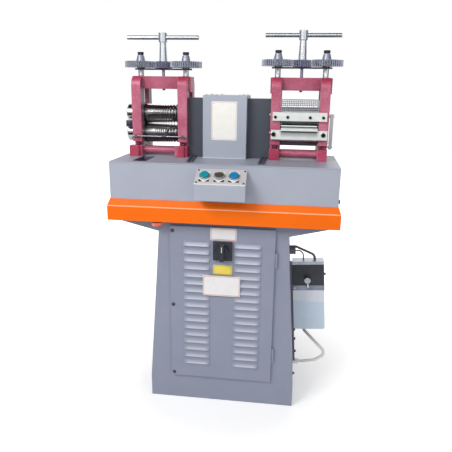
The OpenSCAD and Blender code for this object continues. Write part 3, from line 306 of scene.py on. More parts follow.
heads = bmesh.new()
terminal_head = [(0.0034, 0), (0.0034, 0.0012), (0.0028, 0.0018), (0, 0.0018)]
relay_x, relay_step, relay_pitch, relay_face = -0.182, 0.046, 0.012, 0.078
strip_x, strip_pitch, strip_face, strip_z = -0.184, 0.0118, 0.104, 0.4525
for column in range(3):
    for row in (0.508, 0.577):
        for k in range(3):
            seat = facing(relay_x + relay_step * column + relay_pitch * k, relay_face, row, "-Y")
            lathe(heads, terminal_head, seat, 16)
for k in range(11):
    lathe(heads, terminal_head, facing(strip_x + strip_pitch * k, strip_face, strip_z, "-Y"), 16)
piece("terminal_screws", heads, terminal_brass, "base")


# Door of pressed sheet steel with two columns of louvres, in the cabinet's enamel. It hangs on two hinges
# at its right edge and is held shut by three slotted quarter-turn fasteners at its left edge. A painted
# highlight makes the louvres' hoods and the door's edges paler.
def tint(tree, mask, colour):
    base = tree.nodes["Principled BSDF"].inputs["Base Color"]
    was = base.links[0].from_socket
    tone = add(tree, "ShaderNodeMix", {0: mask, 6: was, 7: srgb(colour)}, data_type="RGBA").outputs[2]
    tree.links.new(tone, base)


door_face, column_x, lock_x = -0.140, 0.087, -0.170
# The door's edge colour is paler than the cabinet's: a painted highlight along its edges.
door_enamel = enamel("stove_enamel_on_pressed_louvres", "#9197AA", "#868C9F", "#C6CAD6", 0.42, 4)
tree = door_enamel.node_tree
place = add(tree, "ShaderNodeTexCoord").outputs["Object"]
axis = add(tree, "ShaderNodeSeparateXYZ", {0: place}).outputs
hood_root, hood_tip = door_face - 0.0005, door_face - 0.0050
louvre_end, louvre_full = 0.0440, 0.0300
hood = add(tree, "ShaderNodeMapRange", {"Value": axis[1], "From Min": hood_root, "From Max": hood_tip,
                                        "To Min": 0.0, "To Max": 0.9}).outputs[0]
off = add(tree, "ShaderNodeMath", {0: axis[0]}, operation="ABSOLUTE").outputs[0]
off = add(tree, "ShaderNodeMath", {0: off, 1: column_x}, operation="SUBTRACT").outputs[0]
off = add(tree, "ShaderNodeMath", {0: off}, operation="ABSOLUTE").outputs[0]
ends = add(tree, "ShaderNodeMapRange", {"Value": off, "From Min": louvre_end,
                                        "From Max": louvre_full}).outputs[0]
pale = add(tree, "ShaderNodeMath", {0: hood, 1: ends}, operation="MULTIPLY").outputs[0]
# Painted highlight: the hoods are tinted pale where they face up to the light.
tint(tree, pale, "#C3C8D6")
finish_of(["door"], door_enamel)
fastener_steel = metal("blackened_screw_steel", "#62636F", "#44454F", 0.42, (300, 300, 300))
locks = bmesh.new()
for height in (0.643, 0.374, 0.108):
    seat = facing(lock_x, door_face, height, "-Y")
    lathe(locks, [(0.0064, 0), (0.0064, 0.0010), (0.0056, 0.0018), (0.0050, 0.0018), (0.0047, 0.0012),
                  (0.0043, 0.0012), (0.0041, 0.0028), (0.0033, 0.0034), (0, 0.0036)], seat, 28)
    block(locks, (-0.0036, -0.0006, 0.0030), (0.0036, 0.0006, 0.0038),
          seat @ Matrix.Rotation(math.radians(35), 4, "Z"), index=1)
# Painted shade: each slot is a near-black bar standing in for the shade in the recess.
painted_slot_shade_black = moulded("painted_slot_shade", "#15151A", "#0E0E12", 0.7, 2)
piece("door_fasteners", locks, [fastener_steel, painted_slot_shade_black], "door")


# Plates on the door: plain enamelled aluminium sheet with rounded corners, held by small rivets.
# The lowest one stands on spacers because it reaches over the louvres.
def plate(form, width, height, thick, corner, at, index=0):
    outline = []
    for cx, cy, start in ((1, 1, 0), (-1, 1, 90), (-1, -1, 180), (1, -1, 270)):
        for k in range(7):
            a = math.radians(start + 15 * k)
            outline.append((cx * (width / 2 - corner), cy * (height / 2 - corner), math.cos(a), math.sin(a)))
    rings = []
    for radius, z in ((corner, 0), (corner, thick * 0.6), (corner - thick * 0.4, thick)):
        points = [Vector((x + radius * c, y + radius * s, z)) for x, y, c, s in outline]
        rings.append([form.verts.new(at @ point) for point in points])
    for lower, upper in zip(rings, rings[1:]):
        for k in range(len(outline)):
            j = (k + 1) % len(outline)
            form.faces.new([lower[k], lower[j], upper[j], upper[k]]).material_index = index
    form.faces.new(rings[-1]).material_index = index
    form.faces.new(rings[0][::-1]).material_index = index


def sheet_enamel(name, colour, border, width, height, middle):
    made, tree, skin = fresh(name)
    place = add(tree, "ShaderNodeTexCoord").outputs["Object"]
    axis = add(tree, "ShaderNodeSeparateXYZ", {0: place}).outputs
    edges = []
    for output, centre, span in ((axis[0], middle[0], width), (axis[2], middle[1], height)):
        off = add(tree, "ShaderNodeMath", {0: output, 1: centre}, operation="SUBTRACT").outputs[0]
        off = add(tree, "ShaderNodeMath", {0: off}, operation="ABSOLUTE").outputs[0]
        line = add(tree, "ShaderNodeMath", {0: off, 1: span / 2 - 0.0032, 2: 0.0008},
                   operation="COMPARE").outputs[0]
        inside = add(tree, "ShaderNodeMath", {0: off, 1: span / 2 - 0.0024},
                     operation="LESS_THAN").outputs[0]
        edges.append((line, inside))
    first = add(tree, "ShaderNodeMath", {0: edges[0][0], 1: edges[1][1]}, operation="MULTIPLY").outputs[0]
    second = add(tree, "ShaderNodeMath", {0: edges[1][0], 1: edges[0][1]}, operation="MULTIPLY").outputs[0]
    line = add(tree, "ShaderNodeMath", {0: first, 1: second}, operation="MAXIMUM").outputs[0]
    cloud = add(tree, "ShaderNodeTexNoise", {"Vector": place, "Scale": 60.0, "Detail": 4.0}).outputs["Fac"]
    soiled = add(tree, "ShaderNodeMapRange", {"Value": cloud, "To Min": 0.88, "To Max": 1.0}).outputs[0]
    tone = add(tree, "ShaderNodeMix", {0: line, 6: srgb(colour), 7: srgb(border)},
               data_type="RGBA").outputs[2]
    dim = add(tree, "ShaderNodeVectorMath", {0: tone, "Scale": soiled}, operation="SCALE")
    tree.links.new(dim.outputs[0], skin.inputs["Base Color"])
    fine = add(tree, "ShaderNodeTexNoise", {"Vector": place, "Scale": 700.0, "Detail": 2.0}).outputs["Fac"]
    dull = add(tree, "ShaderNodeMapRange", {"Value": fine, "To Min": 0.28, "To Max": 0.44}).outputs[0]
    tree.links.new(dull, skin.inputs["Roughness"])
    bump = add(tree, "ShaderNodeBump", {"Height": fine, "Strength": 0.1, "Distance": 0.0001})
    tree.links.new(bump.outputs[0], skin.inputs["Normal"])
    return made


rivet_metal = metal("pressed_aluminium_rivet", "#D5D8DA", "#A9ADB2", 0.3, (500, 500, 500))
rivet_in, spacer_x = 0.0055, 0.030
for name, low, high, lift, colour, border in (
        ("upper_door_plate", (-0.040, 0.616), (0.048, 0.659), 0.0, "#F1EFEF", "#D9705F"),
        ("yellow_door_plate", (-0.030, 0.495), (0.035, 0.529), 0.0, "#F2DB5E", "#C9AE35"),
        ("lower_door_plate", (-0.064, 0.419), (0.064, 0.492), 0.0068, "#F1EFEF", "#D9705F")):
    width, height = high[0] - low[0], high[1] - low[1]
    middle = ((low[0] + high[0]) / 2, (low[1] + high[1]) / 2)
    seat = facing(middle[0], door_face - lift, middle[1], "-Y")
    form = bmesh.new()
    plate(form, width, height, 0.0010, 0.003, seat)
    for sx in (-1, 1):
        for sy in (-1, 1):
            rivet_y = sy * (height / 2 - rivet_in)
            spot = seat @ Matrix.Translation((sx * (width / 2 - rivet_in), rivet_y, 0))
            lathe(form, [(0.0017, 0.0008), (0.0016, 0.0016), (0.0010, 0.0021), (0, 0.0022)], spot, 16, 1)
            if lift:
                lathe(form, [(0, -lift), (0.003, -lift), (0.003, 0.0002), (0, 0.0002)],
                      seat @ Matrix.Translation((sx * spacer_x, rivet_y, 0)), 16, 1)
    piece(name, form, [sheet_enamel(name + "_enamel", colour, border, width, height, middle), rivet_metal],
          "door")

# Main switch: black moulded base screwed to the door, with a rotary grip in front of it. A pale moulded line
# on the grip shows how it stands.
switch_black = moulded("moulded_phenolic_black", "#2E323C", "#23262E", 0.45, 1.2)
finish_of(["isolator_base", "isolator_handle"], switch_black)
switch_x, switch_z, screw_off = 0.003, 0.581, 0.0265
screws = bmesh.new()
for sx in (-1, 1):
    for sz in (-1, 1):
        seat = facing(switch_x + sx * screw_off, -0.152, switch_z + sz * screw_off, "-Y")
        lathe(screws, [(0.0032, 0), (0.0032, 0.0008), (0.0024, 0.0014), (0, 0.0014)], seat, 20)
        slot = seat @ Matrix.Rotation(0.6, 4, "Z")
        block(screws, (-0.0022, -0.0004, 0.0012), (0.0022, 0.0004, 0.0017), slot)
piece("switch_screws", screws, fastener_steel, "door")
pointer = bmesh.new()
plate(pointer, 0.0026, 0.020, 0.0006, 0.0011, facing(switch_x, -0.176, switch_z + 0.013, "-Y"))
ivory_line = moulded("moulded_ivory_line", "#E9E6DE", "#DAD7CF", 0.4, 2)
piece("switch_pointer", pointer, ivory_line, "isolator")

# Bench: a deep box of folded steel sheet with a thick top plate, stove enamelled in a lighter, bluer grey.
# Its top plate has a darker copy of the enamel and its tray wells are painted dark, both painted shade.
# A hexagon bolt at its right end holds the wing from inside.
bench_enamel = enamel("stove_enamel_blue_grey", "#AEB3C1", "#A3A8B6", "#C8CDD7", 0.40, 4)
finish_of(["bench_shell"], bench_enamel)
# Painted shade: the top plate's enamel is a darker copy, set against the light from above.
shaded_top_enamel = enamel("stove_enamel_shaded_on_top_plate", "#A5A9B7", "#999DAC", "#C8CDD7", 0.46, 4)
tree = shaded_top_enamel.node_tree
place = add(tree, "ShaderNodeTexCoord").outputs["Object"]
axis = add(tree, "ShaderNodeSeparateXYZ", {0: place}).outputs
tray_z, tray_end, tray_front = 0.8742, 0.345, -0.158
deep = add(tree, "ShaderNodeMath", {0: axis[2], 1: tray_z}, operation="LESS_THAN").outputs[0]
near = add(tree, "ShaderNodeMath", {0: axis[0]}, operation="ABSOLUTE").outputs[0]
near = add(tree, "ShaderNodeMath", {0: near, 1: tray_end}, operation="LESS_THAN").outputs[0]
behind = add(tree, "ShaderNodeMath", {0: axis[1], 1: tray_front}, operation="GREATER_THAN").outputs[0]
well_shade = add(tree, "ShaderNodeMath", {0: deep, 1: near}, operation="MULTIPLY").outputs[0]
well_shade = add(tree, "ShaderNodeMath", {0: well_shade, 1: behind}, operation="MULTIPLY").outputs[0]
# Painted shade in the tray wells.
tint(tree, well_shade, "#565264")
finish_of(["bench_top"], shaded_top_enamel)
finish_of(["left_tray_cover", "right_tray_cover"],
          enamel("stove_enamel_on_tray_covers", "#A9ADBA", "#9EA2AF", "#5F6373", 0.46, 4))
bolt = bmesh.new()
seat = facing(0.370, -0.148, 0.766, "+X")
lathe(bolt, [(0.0095, 0), (0.0095, 0.0012), (0.0070, 0.0012)], seat, 32)
lathe(bolt, [(0.0070, 0.0010), (0.0070, 0.0050), (0.0062, 0.0056), (0, 0.0056)], seat, 6)
piece("bench_end_bolt", bolt, fastener_steel, "base", 25)

# Apron: a folded skirt of thicker sheet round the bench's foot, in satin orange enamel. Its top is folded
# back to the bench at a slant, and a pale painted highlight runs along that fold.
apron_enamel = enamel("satin_enamel_orange", "#F97206", "#F26803", "#FF9436", 0.5, 5)
tree = apron_enamel.node_tree
tree.nodes["Principled BSDF"].inputs["Specular IOR Level"].default_value = 0.2
fold_z, fold_fade, fold_full = 0.730, 0.0026, 0.0006
place = add(tree, "ShaderNodeTexCoord").outputs["Object"]
high = add(tree, "ShaderNodeSeparateXYZ", {0: place}).outputs[2]
fold_highlight = add(tree, "ShaderNodeMath", {0: high, 1: fold_z}, operation="SUBTRACT").outputs[0]
fold_highlight = add(tree, "ShaderNodeMath", {0: fold_highlight}, operation="ABSOLUTE").outputs[0]
fold_highlight = add(tree, "ShaderNodeMapRange", {"Value": fold_highlight, "From Min": fold_fade, "From Max": fold_full,
                                        "To Min": 0.0, "To Max": 0.75}).outputs[0]
# Painted highlight along the fold.
tint(tree, fold_highlight, "#FFC9A0")
finish_of(["apron"], apron_enamel)

# Emergency button: a red moulded mushroom under the bench's left front edge, pressed upwards.
# It stands in a yellow collar clamped to the bench floor.
finish_of(["emergency_button"], moulded("moulded_abs_red", "#FA7A64", "#EE6A54", 0.3, 3))
collar = bmesh.new()
lathe(collar, [(0.0098, 0), (0.0190, 0), (0.0190, 0.0014), (0.0176, 0.0018), (0.0098, 0.0018), (0.0098, 0)],
      facing(-0.218, -0.153, 0.681, "-Z"), 40)
collar_yellow = moulded("moulded_abs_yellow", "#EBC93C", "#DDBB30", 0.4, 3)
piece("emergency_collar", collar, collar_yellow, "base")

# Mill frames: two iron castings, filled and enamelled raspberry red, with machined bare faces inside the
# opening where the rolls and bearing blocks run. The enamel follows the casting's slightly lumpy skin. A
# pale painted glare lies on the posts and a painted highlight on the edges, the crowns and feet stay deep,
# and the beams between the posts are painted darker as shade.
head_x, half_open = 0.238, 0.0645
cheek_front, cheek_low, beam_low = -0.004, 0.915, 1.100
crown_low, crown_full, foot_top, foot_full = 1.115, 1.135, 0.9125, 0.9115


def cast_enamel(name):
    made, tree, skin = fresh(name)
    spot = add(tree, "ShaderNodeTexCoord").outputs
    place = spot["Object"]
    axis = add(tree, "ShaderNodeSeparateXYZ", {0: place}).outputs
    way = add(tree, "ShaderNodeSeparateXYZ", {0: spot["Normal"]}).outputs
    side = add(tree, "ShaderNodeMath", {0: axis[0]}, operation="ABSOLUTE").outputs[0]
    side = add(tree, "ShaderNodeMath", {0: side, 1: head_x}, operation="SUBTRACT").outputs[0]
    side = add(tree, "ShaderNodeMath", {0: side}, operation="ABSOLUTE").outputs[0]
    inside = add(tree, "ShaderNodeMath", {0: side, 1: half_open}, operation="LESS_THAN").outputs[0]
    across = add(tree, "ShaderNodeMath", {0: way[0]}, operation="ABSOLUTE").outputs[0]
    across = add(tree, "ShaderNodeMath", {0: across, 1: 0.9}, operation="GREATER_THAN").outputs[0]
    back = add(tree, "ShaderNodeMath", {0: axis[1], 1: cheek_front}, operation="GREATER_THAN").outputs[0]
    above = add(tree, "ShaderNodeMath", {0: axis[2], 1: cheek_low}, operation="GREATER_THAN").outputs[0]
    bare = add(tree, "ShaderNodeMath", {0: inside, 1: across}, operation="MULTIPLY").outputs[0]
    bare = add(tree, "ShaderNodeMath", {0: bare, 1: back}, operation="MULTIPLY").outputs[0]
    bare = add(tree, "ShaderNodeMath", {0: bare, 1: above}, operation="MULTIPLY").outputs[0]
    lump = add(tree, "ShaderNodeTexNoise", {"Vector": place, "Scale": 110.0, "Detail": 4.0,
                                            "Roughness": 0.55}).outputs["Fac"]
    cloud = add(tree, "ShaderNodeTexNoise", {"Vector": place, "Scale": 14.0, "Detail": 4.0}).outputs["Fac"]
    mottle = add(tree, "ShaderNodeTexNoise", {"Vector": place, "Scale": 260.0, "Detail": 3.0,
                                              "Roughness": 0.7}).outputs["Fac"]
    blotch = add(tree, "ShaderNodeMath", {0: cloud, 1: mottle}, operation="ADD").outputs[0]
    blotch = add(tree, "ShaderNodeMapRange", {"Value": blotch, "From Min": 0.75,
                                              "From Max": 1.25}).outputs[0]
    crown = add(tree, "ShaderNodeMapRange", {"Value": axis[2], "From Min": crown_low,
                                             "From Max": crown_full}).outputs[0]
    base = add(tree, "ShaderNodeMapRange", {"Value": axis[2], "From Min": foot_top,
                                            "From Max": foot_full}).outputs[0]
    ends = add(tree, "ShaderNodeMath", {0: crown, 1: base}, operation="MAXIMUM").outputs[0]
    ends = add(tree, "ShaderNodeMath", {0: ends, 1: inside}, operation="SUBTRACT", use_clamp=True).outputs[0]
    # Painted shade: the set-back beams between the posts are darker.
    beam = add(tree, "ShaderNodeMath", {0: axis[2], 1: beam_low}, operation="GREATER_THAN").outputs[0]
    beam = add(tree, "ShaderNodeMath", {0: beam, 1: inside}, operation="MULTIPLY").outputs[0]
    # The pale side of the mottle is a painted glare on the posts; crowns and feet take deeper paint without
    # it.
    paint = add(tree, "ShaderNodeMix", {0: blotch, 6: srgb("#A23B58"), 7: srgb("#CB7A92")},
                data_type="RGBA").outputs[2]
    thick = add(tree, "ShaderNodeMix", {0: blotch, 6: srgb("#A32446"), 7: srgb("#C5506F")},
                data_type="RGBA").outputs[2]
    shady = add(tree, "ShaderNodeMix", {0: blotch, 6: srgb("#8F314C"), 7: srgb("#B8617A")},
                data_type="RGBA").outputs[2]
    paint = add(tree, "ShaderNodeMix", {0: ends, 6: paint, 7: thick}, data_type="RGBA").outputs[2]
    paint = add(tree, "ShaderNodeMix", {0: beam, 6: paint, 7: shady}, data_type="RGBA").outputs[2]
    rounded = add(tree, "ShaderNodeBevel", {"Radius": 0.0035}, samples=6)
    true = add(tree, "ShaderNodeNewGeometry").outputs["Normal"]
    turn = add(tree, "ShaderNodeVectorMath", {0: rounded.outputs[0], 1: true},
               operation="DOT_PRODUCT").outputs["Value"]
    # Painted highlight along the casting's rounded edges.
    rim = add(tree, "ShaderNodeMapRange", {"Value": turn, "From Min": 0.97, "From Max": 0.75,
                                           "To Min": 0.0, "To Max": 0.35}).outputs[0]
    paint = add(tree, "ShaderNodeMix", {0: rim, 6: paint, 7: srgb("#DFA3B4")}, data_type="RGBA").outputs[2]
    tone = add(tree, "ShaderNodeMix", {0: bare, 6: paint, 7: srgb("#5E5863")}, data_type="RGBA").outputs[2]
    tree.links.new(tone, skin.inputs["Base Color"])
    dull = add(tree, "ShaderNodeMapRange", {"Value": lump, "To Min": 0.30, "To Max": 0.46}).outputs[0]
    tree.links.new(dull, skin.inputs["Roughness"])
    bump = add(tree, "ShaderNodeBump", {"Height": lump, "Normal": rounded.outputs[0],
                                        "Strength": 0.35, "Distance": 0.0012})
    tree.links.new(bump.outputs[0], skin.inputs["Normal"])
    return made


finish_of(["left_frame", "right_frame"], cast_enamel("enamelled_iron_casting_raspberry"))
bolt_steel = metal("blackened_bolt_steel", "#5B5B66", "#3A3A44", 0.38, (260, 260, 260))
finish_of(["foot_bolts"], enamel("enamelled_bolts_raspberry", "#7E2742", "#5E1A30", "#A45068", 0.36, 3))
side_bolts = bmesh.new()
for height in (0.965, 1.025):
    seat = facing(0.142, -0.008, height, "-X")
    lathe(side_bolts, [(0.0062, 0), (0.0062, 0.0012), (0.0046, 0.0012)], seat, 28)
    lathe(side_bolts, [(0.0046, 0.0010), (0.0046, 0.0046), (0.0038, 0.0054), (0, 0.0054)], seat, 6)
bolt_zinc = metal("zinc_plated_bolt", "#D9DCDC", "#B4B8BC", 0.3, (300, 300, 300))
piece("frame_side_bolts", side_bolts, bolt_zinc, "base", 25)

# Bearing blocks and pressure-screw nuts: machined bearing bronze with fine tool marks, coloured dark, partly
# as oil and partly as painted shade where they sit deep in the frames. The blocks slide in the frames'
# windows.
# Painted shade: the bronze is coloured darker where it sits in the frames.
bearing_bronze = metal("oil_and_shade_darkened_bearing_bronze", "#6E655C", "#494349", 0.42, (60, 60, 900))
finish_of(["lower_chocks", "left_upper_chocks", "right_upper_chocks", "pressure_nuts"], bearing_bronze)

# Rolls: hardened steel, turned and ground, so fine lines run round them. The wire rolls get a darker copy of
# the steel than the polished sheet rolls: painted shade, standing in for the dark surroundings they reflect.
# Painted shade: the wire rolls' steel is a darker copy of the sheet rolls' steel.
wire_roll_steel = metal("ground_roll_steel_painted_darker", "#B9B9B9", "#8C8B8B", 0.15, (1400, 12, 12), 0.001)
sheet_roll_steel = metal("ground_roll_steel_bright", "#D4D8D8", "#B4B8BA", 0.15, (1400, 12, 12), 0.001)
finish_of(["left_upper_roll", "left_lower_roll"], wire_roll_steel)
finish_of(["right_upper_roll", "right_lower_roll"], sheet_roll_steel)

# Pressure screws: turned steel screws with a spur gear and a conical hub on top and a blackened hexagon cap.
# The thread shows between the frame and the bridge plate. The right head's screws stand a little higher.
right_rise, screw_lead = 0.008, 0.003
stem_top, hub_low, cap_low = 1.1665, 1.1950, 1.2155


def screw_steel(name, rise):
    made = metal(name, "#A6AAB6", "#8E929F", 0.50, (40, 40, 900))
    tree = made.node_tree
    skin = tree.nodes["Principled BSDF"]
    place = add(tree, "ShaderNodeTexCoord").outputs["Object"]
    high = add(tree, "ShaderNodeSeparateXYZ", {0: place}).outputs[2]
    stem = add(tree, "ShaderNodeMath", {0: high, 1: stem_top + rise}, operation="LESS_THAN").outputs[0]
    hub = add(tree, "ShaderNodeMath", {0: high, 1: hub_low + rise}, operation="GREATER_THAN").outputs[0]
    cap = add(tree, "ShaderNodeMath", {0: high, 1: cap_low + rise}, operation="GREATER_THAN").outputs[0]
    for mask, colour in ((hub, "#868A97"), (cap, "#33343E"), (stem, "#B9BCC2")):
        tint(tree, mask, colour)
    gloss = add(tree, "ShaderNodeMapRange", {"Value": stem, "To Min": 0.50, "To Max": 0.30}).outputs[0]
    tree.links.new(gloss, skin.inputs["Roughness"])
    wave = add(tree, "ShaderNodeTexWave", {"Vector": place, "Scale": 2 * math.pi / (20 * screw_lead),
                                           "Distortion": 0.0}, bands_direction="Z")
    thread = add(tree, "ShaderNodeMath", {0: wave.outputs["Fac"], 1: stem}, operation="MULTIPLY").outputs[0]
    bump = add(tree, "ShaderNodeBump", {"Height": thread, "Strength": 0.25, "Distance": 0.0009,
                                        "Normal": skin.inputs["Normal"].links[0].from_socket})
    tree.links.new(bump.outputs[0], skin.inputs["Normal"])
    return made


finish_of(["left_outer_screw", "left_inner_screw"], screw_steel("cut_gear_steel_left", 0.0))
finish_of(["right_outer_screw", "right_inner_screw"], screw_steel("cut_gear_steel_right", right_rise))
finish_of(["left_bridge", "right_bridge"], bolt_steel)

# Handles: a chromed tee with a tapered stem on a blackened pinion, whose spindle runs down through the beam.
# The chrome is smooth, with faint polishing lines, and painted darker underneath, a painted reflection of
# the dark surroundings below.
pinion_top = 1.1945


def handle_chrome(name, rise):
    made = metal(name, "#B6B9BF", "#A8ACB2", 0.20, (30, 30, 500), 0.0004)
    tree = made.node_tree
    skin = tree.nodes["Principled BSDF"]
    spot = add(tree, "ShaderNodeTexCoord").outputs
    high = add(tree, "ShaderNodeSeparateXYZ", {0: spot["Object"]}).outputs[2]
    way = add(tree, "ShaderNodeSeparateXYZ", {0: spot["Normal"]}).outputs[2]
    pinion = add(tree, "ShaderNodeMath", {0: high, 1: pinion_top + rise}, operation="LESS_THAN").outputs[0]
    # Painted reflection: undersides are tinted dark, for the dark surroundings below.
    underside_shade = add(tree, "ShaderNodeMapRange", {"Value": way, "From Min": -0.20, "From Max": -0.60}).outputs[0]
    tint(tree, underside_shade, "#6E7077")
    tint(tree, pinion, "#7F7F95")
    dull = add(tree, "ShaderNodeMapRange", {"Value": pinion, "To Min": 0.36, "To Max": 0.50}).outputs[0]
    tree.links.new(dull, skin.inputs["Roughness"])
    return made


finish_of(["left_handle"], handle_chrome("chromed_steel_left", 0.0))
finish_of(["right_handle"], handle_chrome("chromed_steel_right", right_rise))

# Feed bar, feed table, perforated guard and keeper: ground flat steel bolted to the right frame's front.
# Black socket screws hold the bar, larger ringed ones the table. The table is painted dark below its
# plate, a painted shadow under the plate's overhang.
flat_steel = metal("ground_flat_steel", "#EDF1EE", "#DDE2DF", 0.36, (14, 700, 700))
flat_steel.node_tree.nodes["Principled BSDF"].inputs["Metallic"].default_value = 0.15
finish_of(["feed_bar"], flat_steel)
table_steel = flat_steel.copy()
table_steel.name = "ground_flat_steel_painted_shadow_below_its_plate"
tree = table_steel.node_tree
place = add(tree, "ShaderNodeTexCoord").outputs["Object"]
axis = add(tree, "ShaderNodeSeparateXYZ", {0: place}).outputs
table_low, table_high, plate_z = 0.951, 0.9696, 0.9744
shadow_end, shadow_full = 0.066, 0.056
# Painted shadow: the table is darkened below the plate's overhang.
oil_and_shadow = add(tree, "ShaderNodeMapRange", {"Value": axis[2], "From Min": table_low, "From Max": table_high,
                                        "To Min": 0.0, "To Max": 0.85}).outputs[0]
below = add(tree, "ShaderNodeMath", {0: axis[2], 1: plate_z}, operation="LESS_THAN").outputs[0]
off = add(tree, "ShaderNodeMath", {0: axis[0], 1: head_x}, operation="SUBTRACT").outputs[0]
off = add(tree, "ShaderNodeMath", {0: off}, operation="ABSOLUTE").outputs[0]
between = add(tree, "ShaderNodeMapRange", {"Value": off, "From Min": shadow_end,
                                           "From Max": shadow_full}).outputs[0]
stain_and_shadow = add(tree, "ShaderNodeMath", {0: oil_and_shadow, 1: below}, operation="MULTIPLY").outputs[0]
stain_and_shadow = add(tree, "ShaderNodeMath", {0: stain_and_shadow, 1: between}, operation="MULTIPLY").outputs[0]
tint(tree, stain_and_shadow, "#646A6D")
finish_of(["feed_table"], table_steel)
keeper_steel = metal("drawn_keeper_steel", "#E4E7EA", "#CDD1D5", 0.30, (300, 300, 14))
keeper_steel.node_tree.nodes["Principled BSDF"].inputs["Metallic"].default_value = 0.4
finish_of(["keeper_bar"], keeper_steel)
finish_of(["roll_guard"], metal("zinc_plated_perforated_sheet", "#A9ACB2", "#888C94", 0.42, (200, 200, 200)))
screw_black = metal("black_oxide_screw_steel", "#33343A", "#1F2025", 0.45, (400, 400, 400))
bar_y, bar_z, table_y, table_z = -0.030, 1.018, -0.038, 0.963
sockets = bmesh.new()
for x in (0.158, 0.199, 0.272, 0.315):
    seat = facing(x, bar_y, bar_z, "-Y")
    lathe(sockets, [(0.0048, 0), (0.0048, 0.0030), (0.0042, 0.0036), (0.0026, 0.0036)], seat, 28)
    lathe(sockets, [(0.0026, 0.0036), (0.0026, 0.0012), (0, 0.0012)], seat, 6)
for x in (0.154, 0.317):
    seat = facing(x, table_y, table_z, "-Y")
    lathe(sockets, [(0.0084, 0), (0.0084, 0.0012), (0.0074, 0.0018), (0.0060, 0.0018)], seat, 32, 1)
    lathe(sockets, [(0.0062, 0.0010), (0.0062, 0.0050), (0.0054, 0.0058), (0.0036, 0.0058)], seat, 32)
    lathe(sockets, [(0.0036, 0.0058), (0.0036, 0.0020), (0, 0.0020)], seat, 6)
washer_steel = metal("passivated_washer", "#A4ABA4", "#868D88", 0.4, (400, 400, 400))
piece("feed_screws", sockets, [screw_black, washer_steel], "base")

# Guide rod in front of the wire rolls: a drawn bright steel rod across the left frame's front.
# A blackened steel wire guide slides along it.
rod_steel = metal("drawn_bright_rod", "#9DA0A6", "#787C82", 0.30, (14, 600, 600))
finish_of(["guide_rod"], rod_steel)
finish_of(["wire_guide"], bolt_steel)

# Nip finger in front of the extension rolls: a blackened steel bar with a thicker foot.
# The foot is screwed to the left frame's outer side.
finger = bmesh.new()
block(finger, (-0.3650, 0.006, 0.9735), (-0.3338, 0.015, 0.9955), soften=0.0016)
block(finger, (-0.3400, 0.004, 0.9705), (-0.3338, 0.017, 0.9985), soften=0.0012)
piece("nip_finger", finger, bolt_steel, "base")

# Drive inside: shaft with couplings, bearings, pulleys and a flat rubber belt down to the motor.
# Turned steel, cast iron and fabric-backed rubber.
finish_of(["drive_shaft"], rod_steel)
cast_grey = metal("machined_grey_iron", "#6B6D74", "#4E5057", 0.5, (500, 60, 60))
finish_of(["shaft_bearings", "driven_pulley", "motor_pulley"], cast_grey)
finish_of(["drive_belt"], moulded("fabric_backed_rubber", "#2A2A2C", "#1F1F21", 0.75, 0.8))

# Drive cover and coupling guards: folded sheet, the cover in the bench's enamel, the guards in matt slate.
# A plain enamelled plate is riveted to the cover's front, and small screws hold its lid.
finish_of(["drive_cover"], bench_enamel)
finish_of(["coupling_guards"], enamel("matt_slate_paint", "#454B57", "#3A404B", "#5C636F", 0.55, 3))
width, height, middle = 0.086, 0.128, (-0.013, 1.001)
form = bmesh.new()
seat = facing(middle[0], -0.025, middle[1], "-Y")
plate(form, width, height, 0.0010, 0.002, seat)
for sx in (-1, 1):
    for sy in (-1, 1):
        lathe(form, [(0.0019, 0.0008), (0.0018, 0.0017), (0.0011, 0.0022), (0, 0.0023)],
              seat @ Matrix.Translation((sx * (width / 2 - 0.006), sy * (height / 2 - 0.006), 0)), 16, 1)
ivory_enamel = sheet_enamel("ivory_plate_enamel", "#FAF8F2", "#DDD6C8", width, height, middle)
piece("cover_plate", form, [ivory_enamel, rivet_metal], "base")
nibs = bmesh.new()
for x in (-0.076, -0.040, 0.038, 0.052):
    for y in (-0.015, 0.115):
        seat = facing(x, y, 1.085, "+Z")
        lathe(nibs, [(0.0042, 0), (0.0042, 0.0010), (0.0032, 0.0024), (0, 0.0028)], seat, 20)
piece("cover_screws", nibs, rivet_metal, "base")
# The cover stands on a thin foot strip in a paler copy of the bench's enamel, a painted highlight.
foot = bmesh.new()
block(foot, (-0.0870, -0.0315, 0.8752), (0.0620, -0.0252, 0.8778), soften=0.0008)
lit_foot_enamel = enamel("stove_enamel_painted_light_on_cover_foot", "#D5DAE3", "#C8CDD8", "#E6E9EE", 0.4, 4)
piece("cover_foot", foot, lit_foot_enamel, "base")

# Control box: folded sheet box on the bench's front with a sloping satin panel, three push-button stations
# with white legend plates, and four countersunk screws. The panel's lower edge is painted pale, a painted
# highlight along the fold, and the selector's grip stands on a pale ring.
finish_of(["control_box"], bench_enamel)
panel_metal = metal("satin_panel_enamel", "#D8D4D4", "#CCC8C8", 0.42, (20, 600, 600))
tree = panel_metal.node_tree
glint_top, glint_low = 0.8255, 0.8235
place = add(tree, "ShaderNodeTexCoord").outputs["Object"]
high = add(tree, "ShaderNodeSeparateXYZ", {0: place}).outputs[2]
edge_glint = add(tree, "ShaderNodeMapRange", {"Value": high, "From Min": glint_top, "From Max": glint_low}).outputs[0]
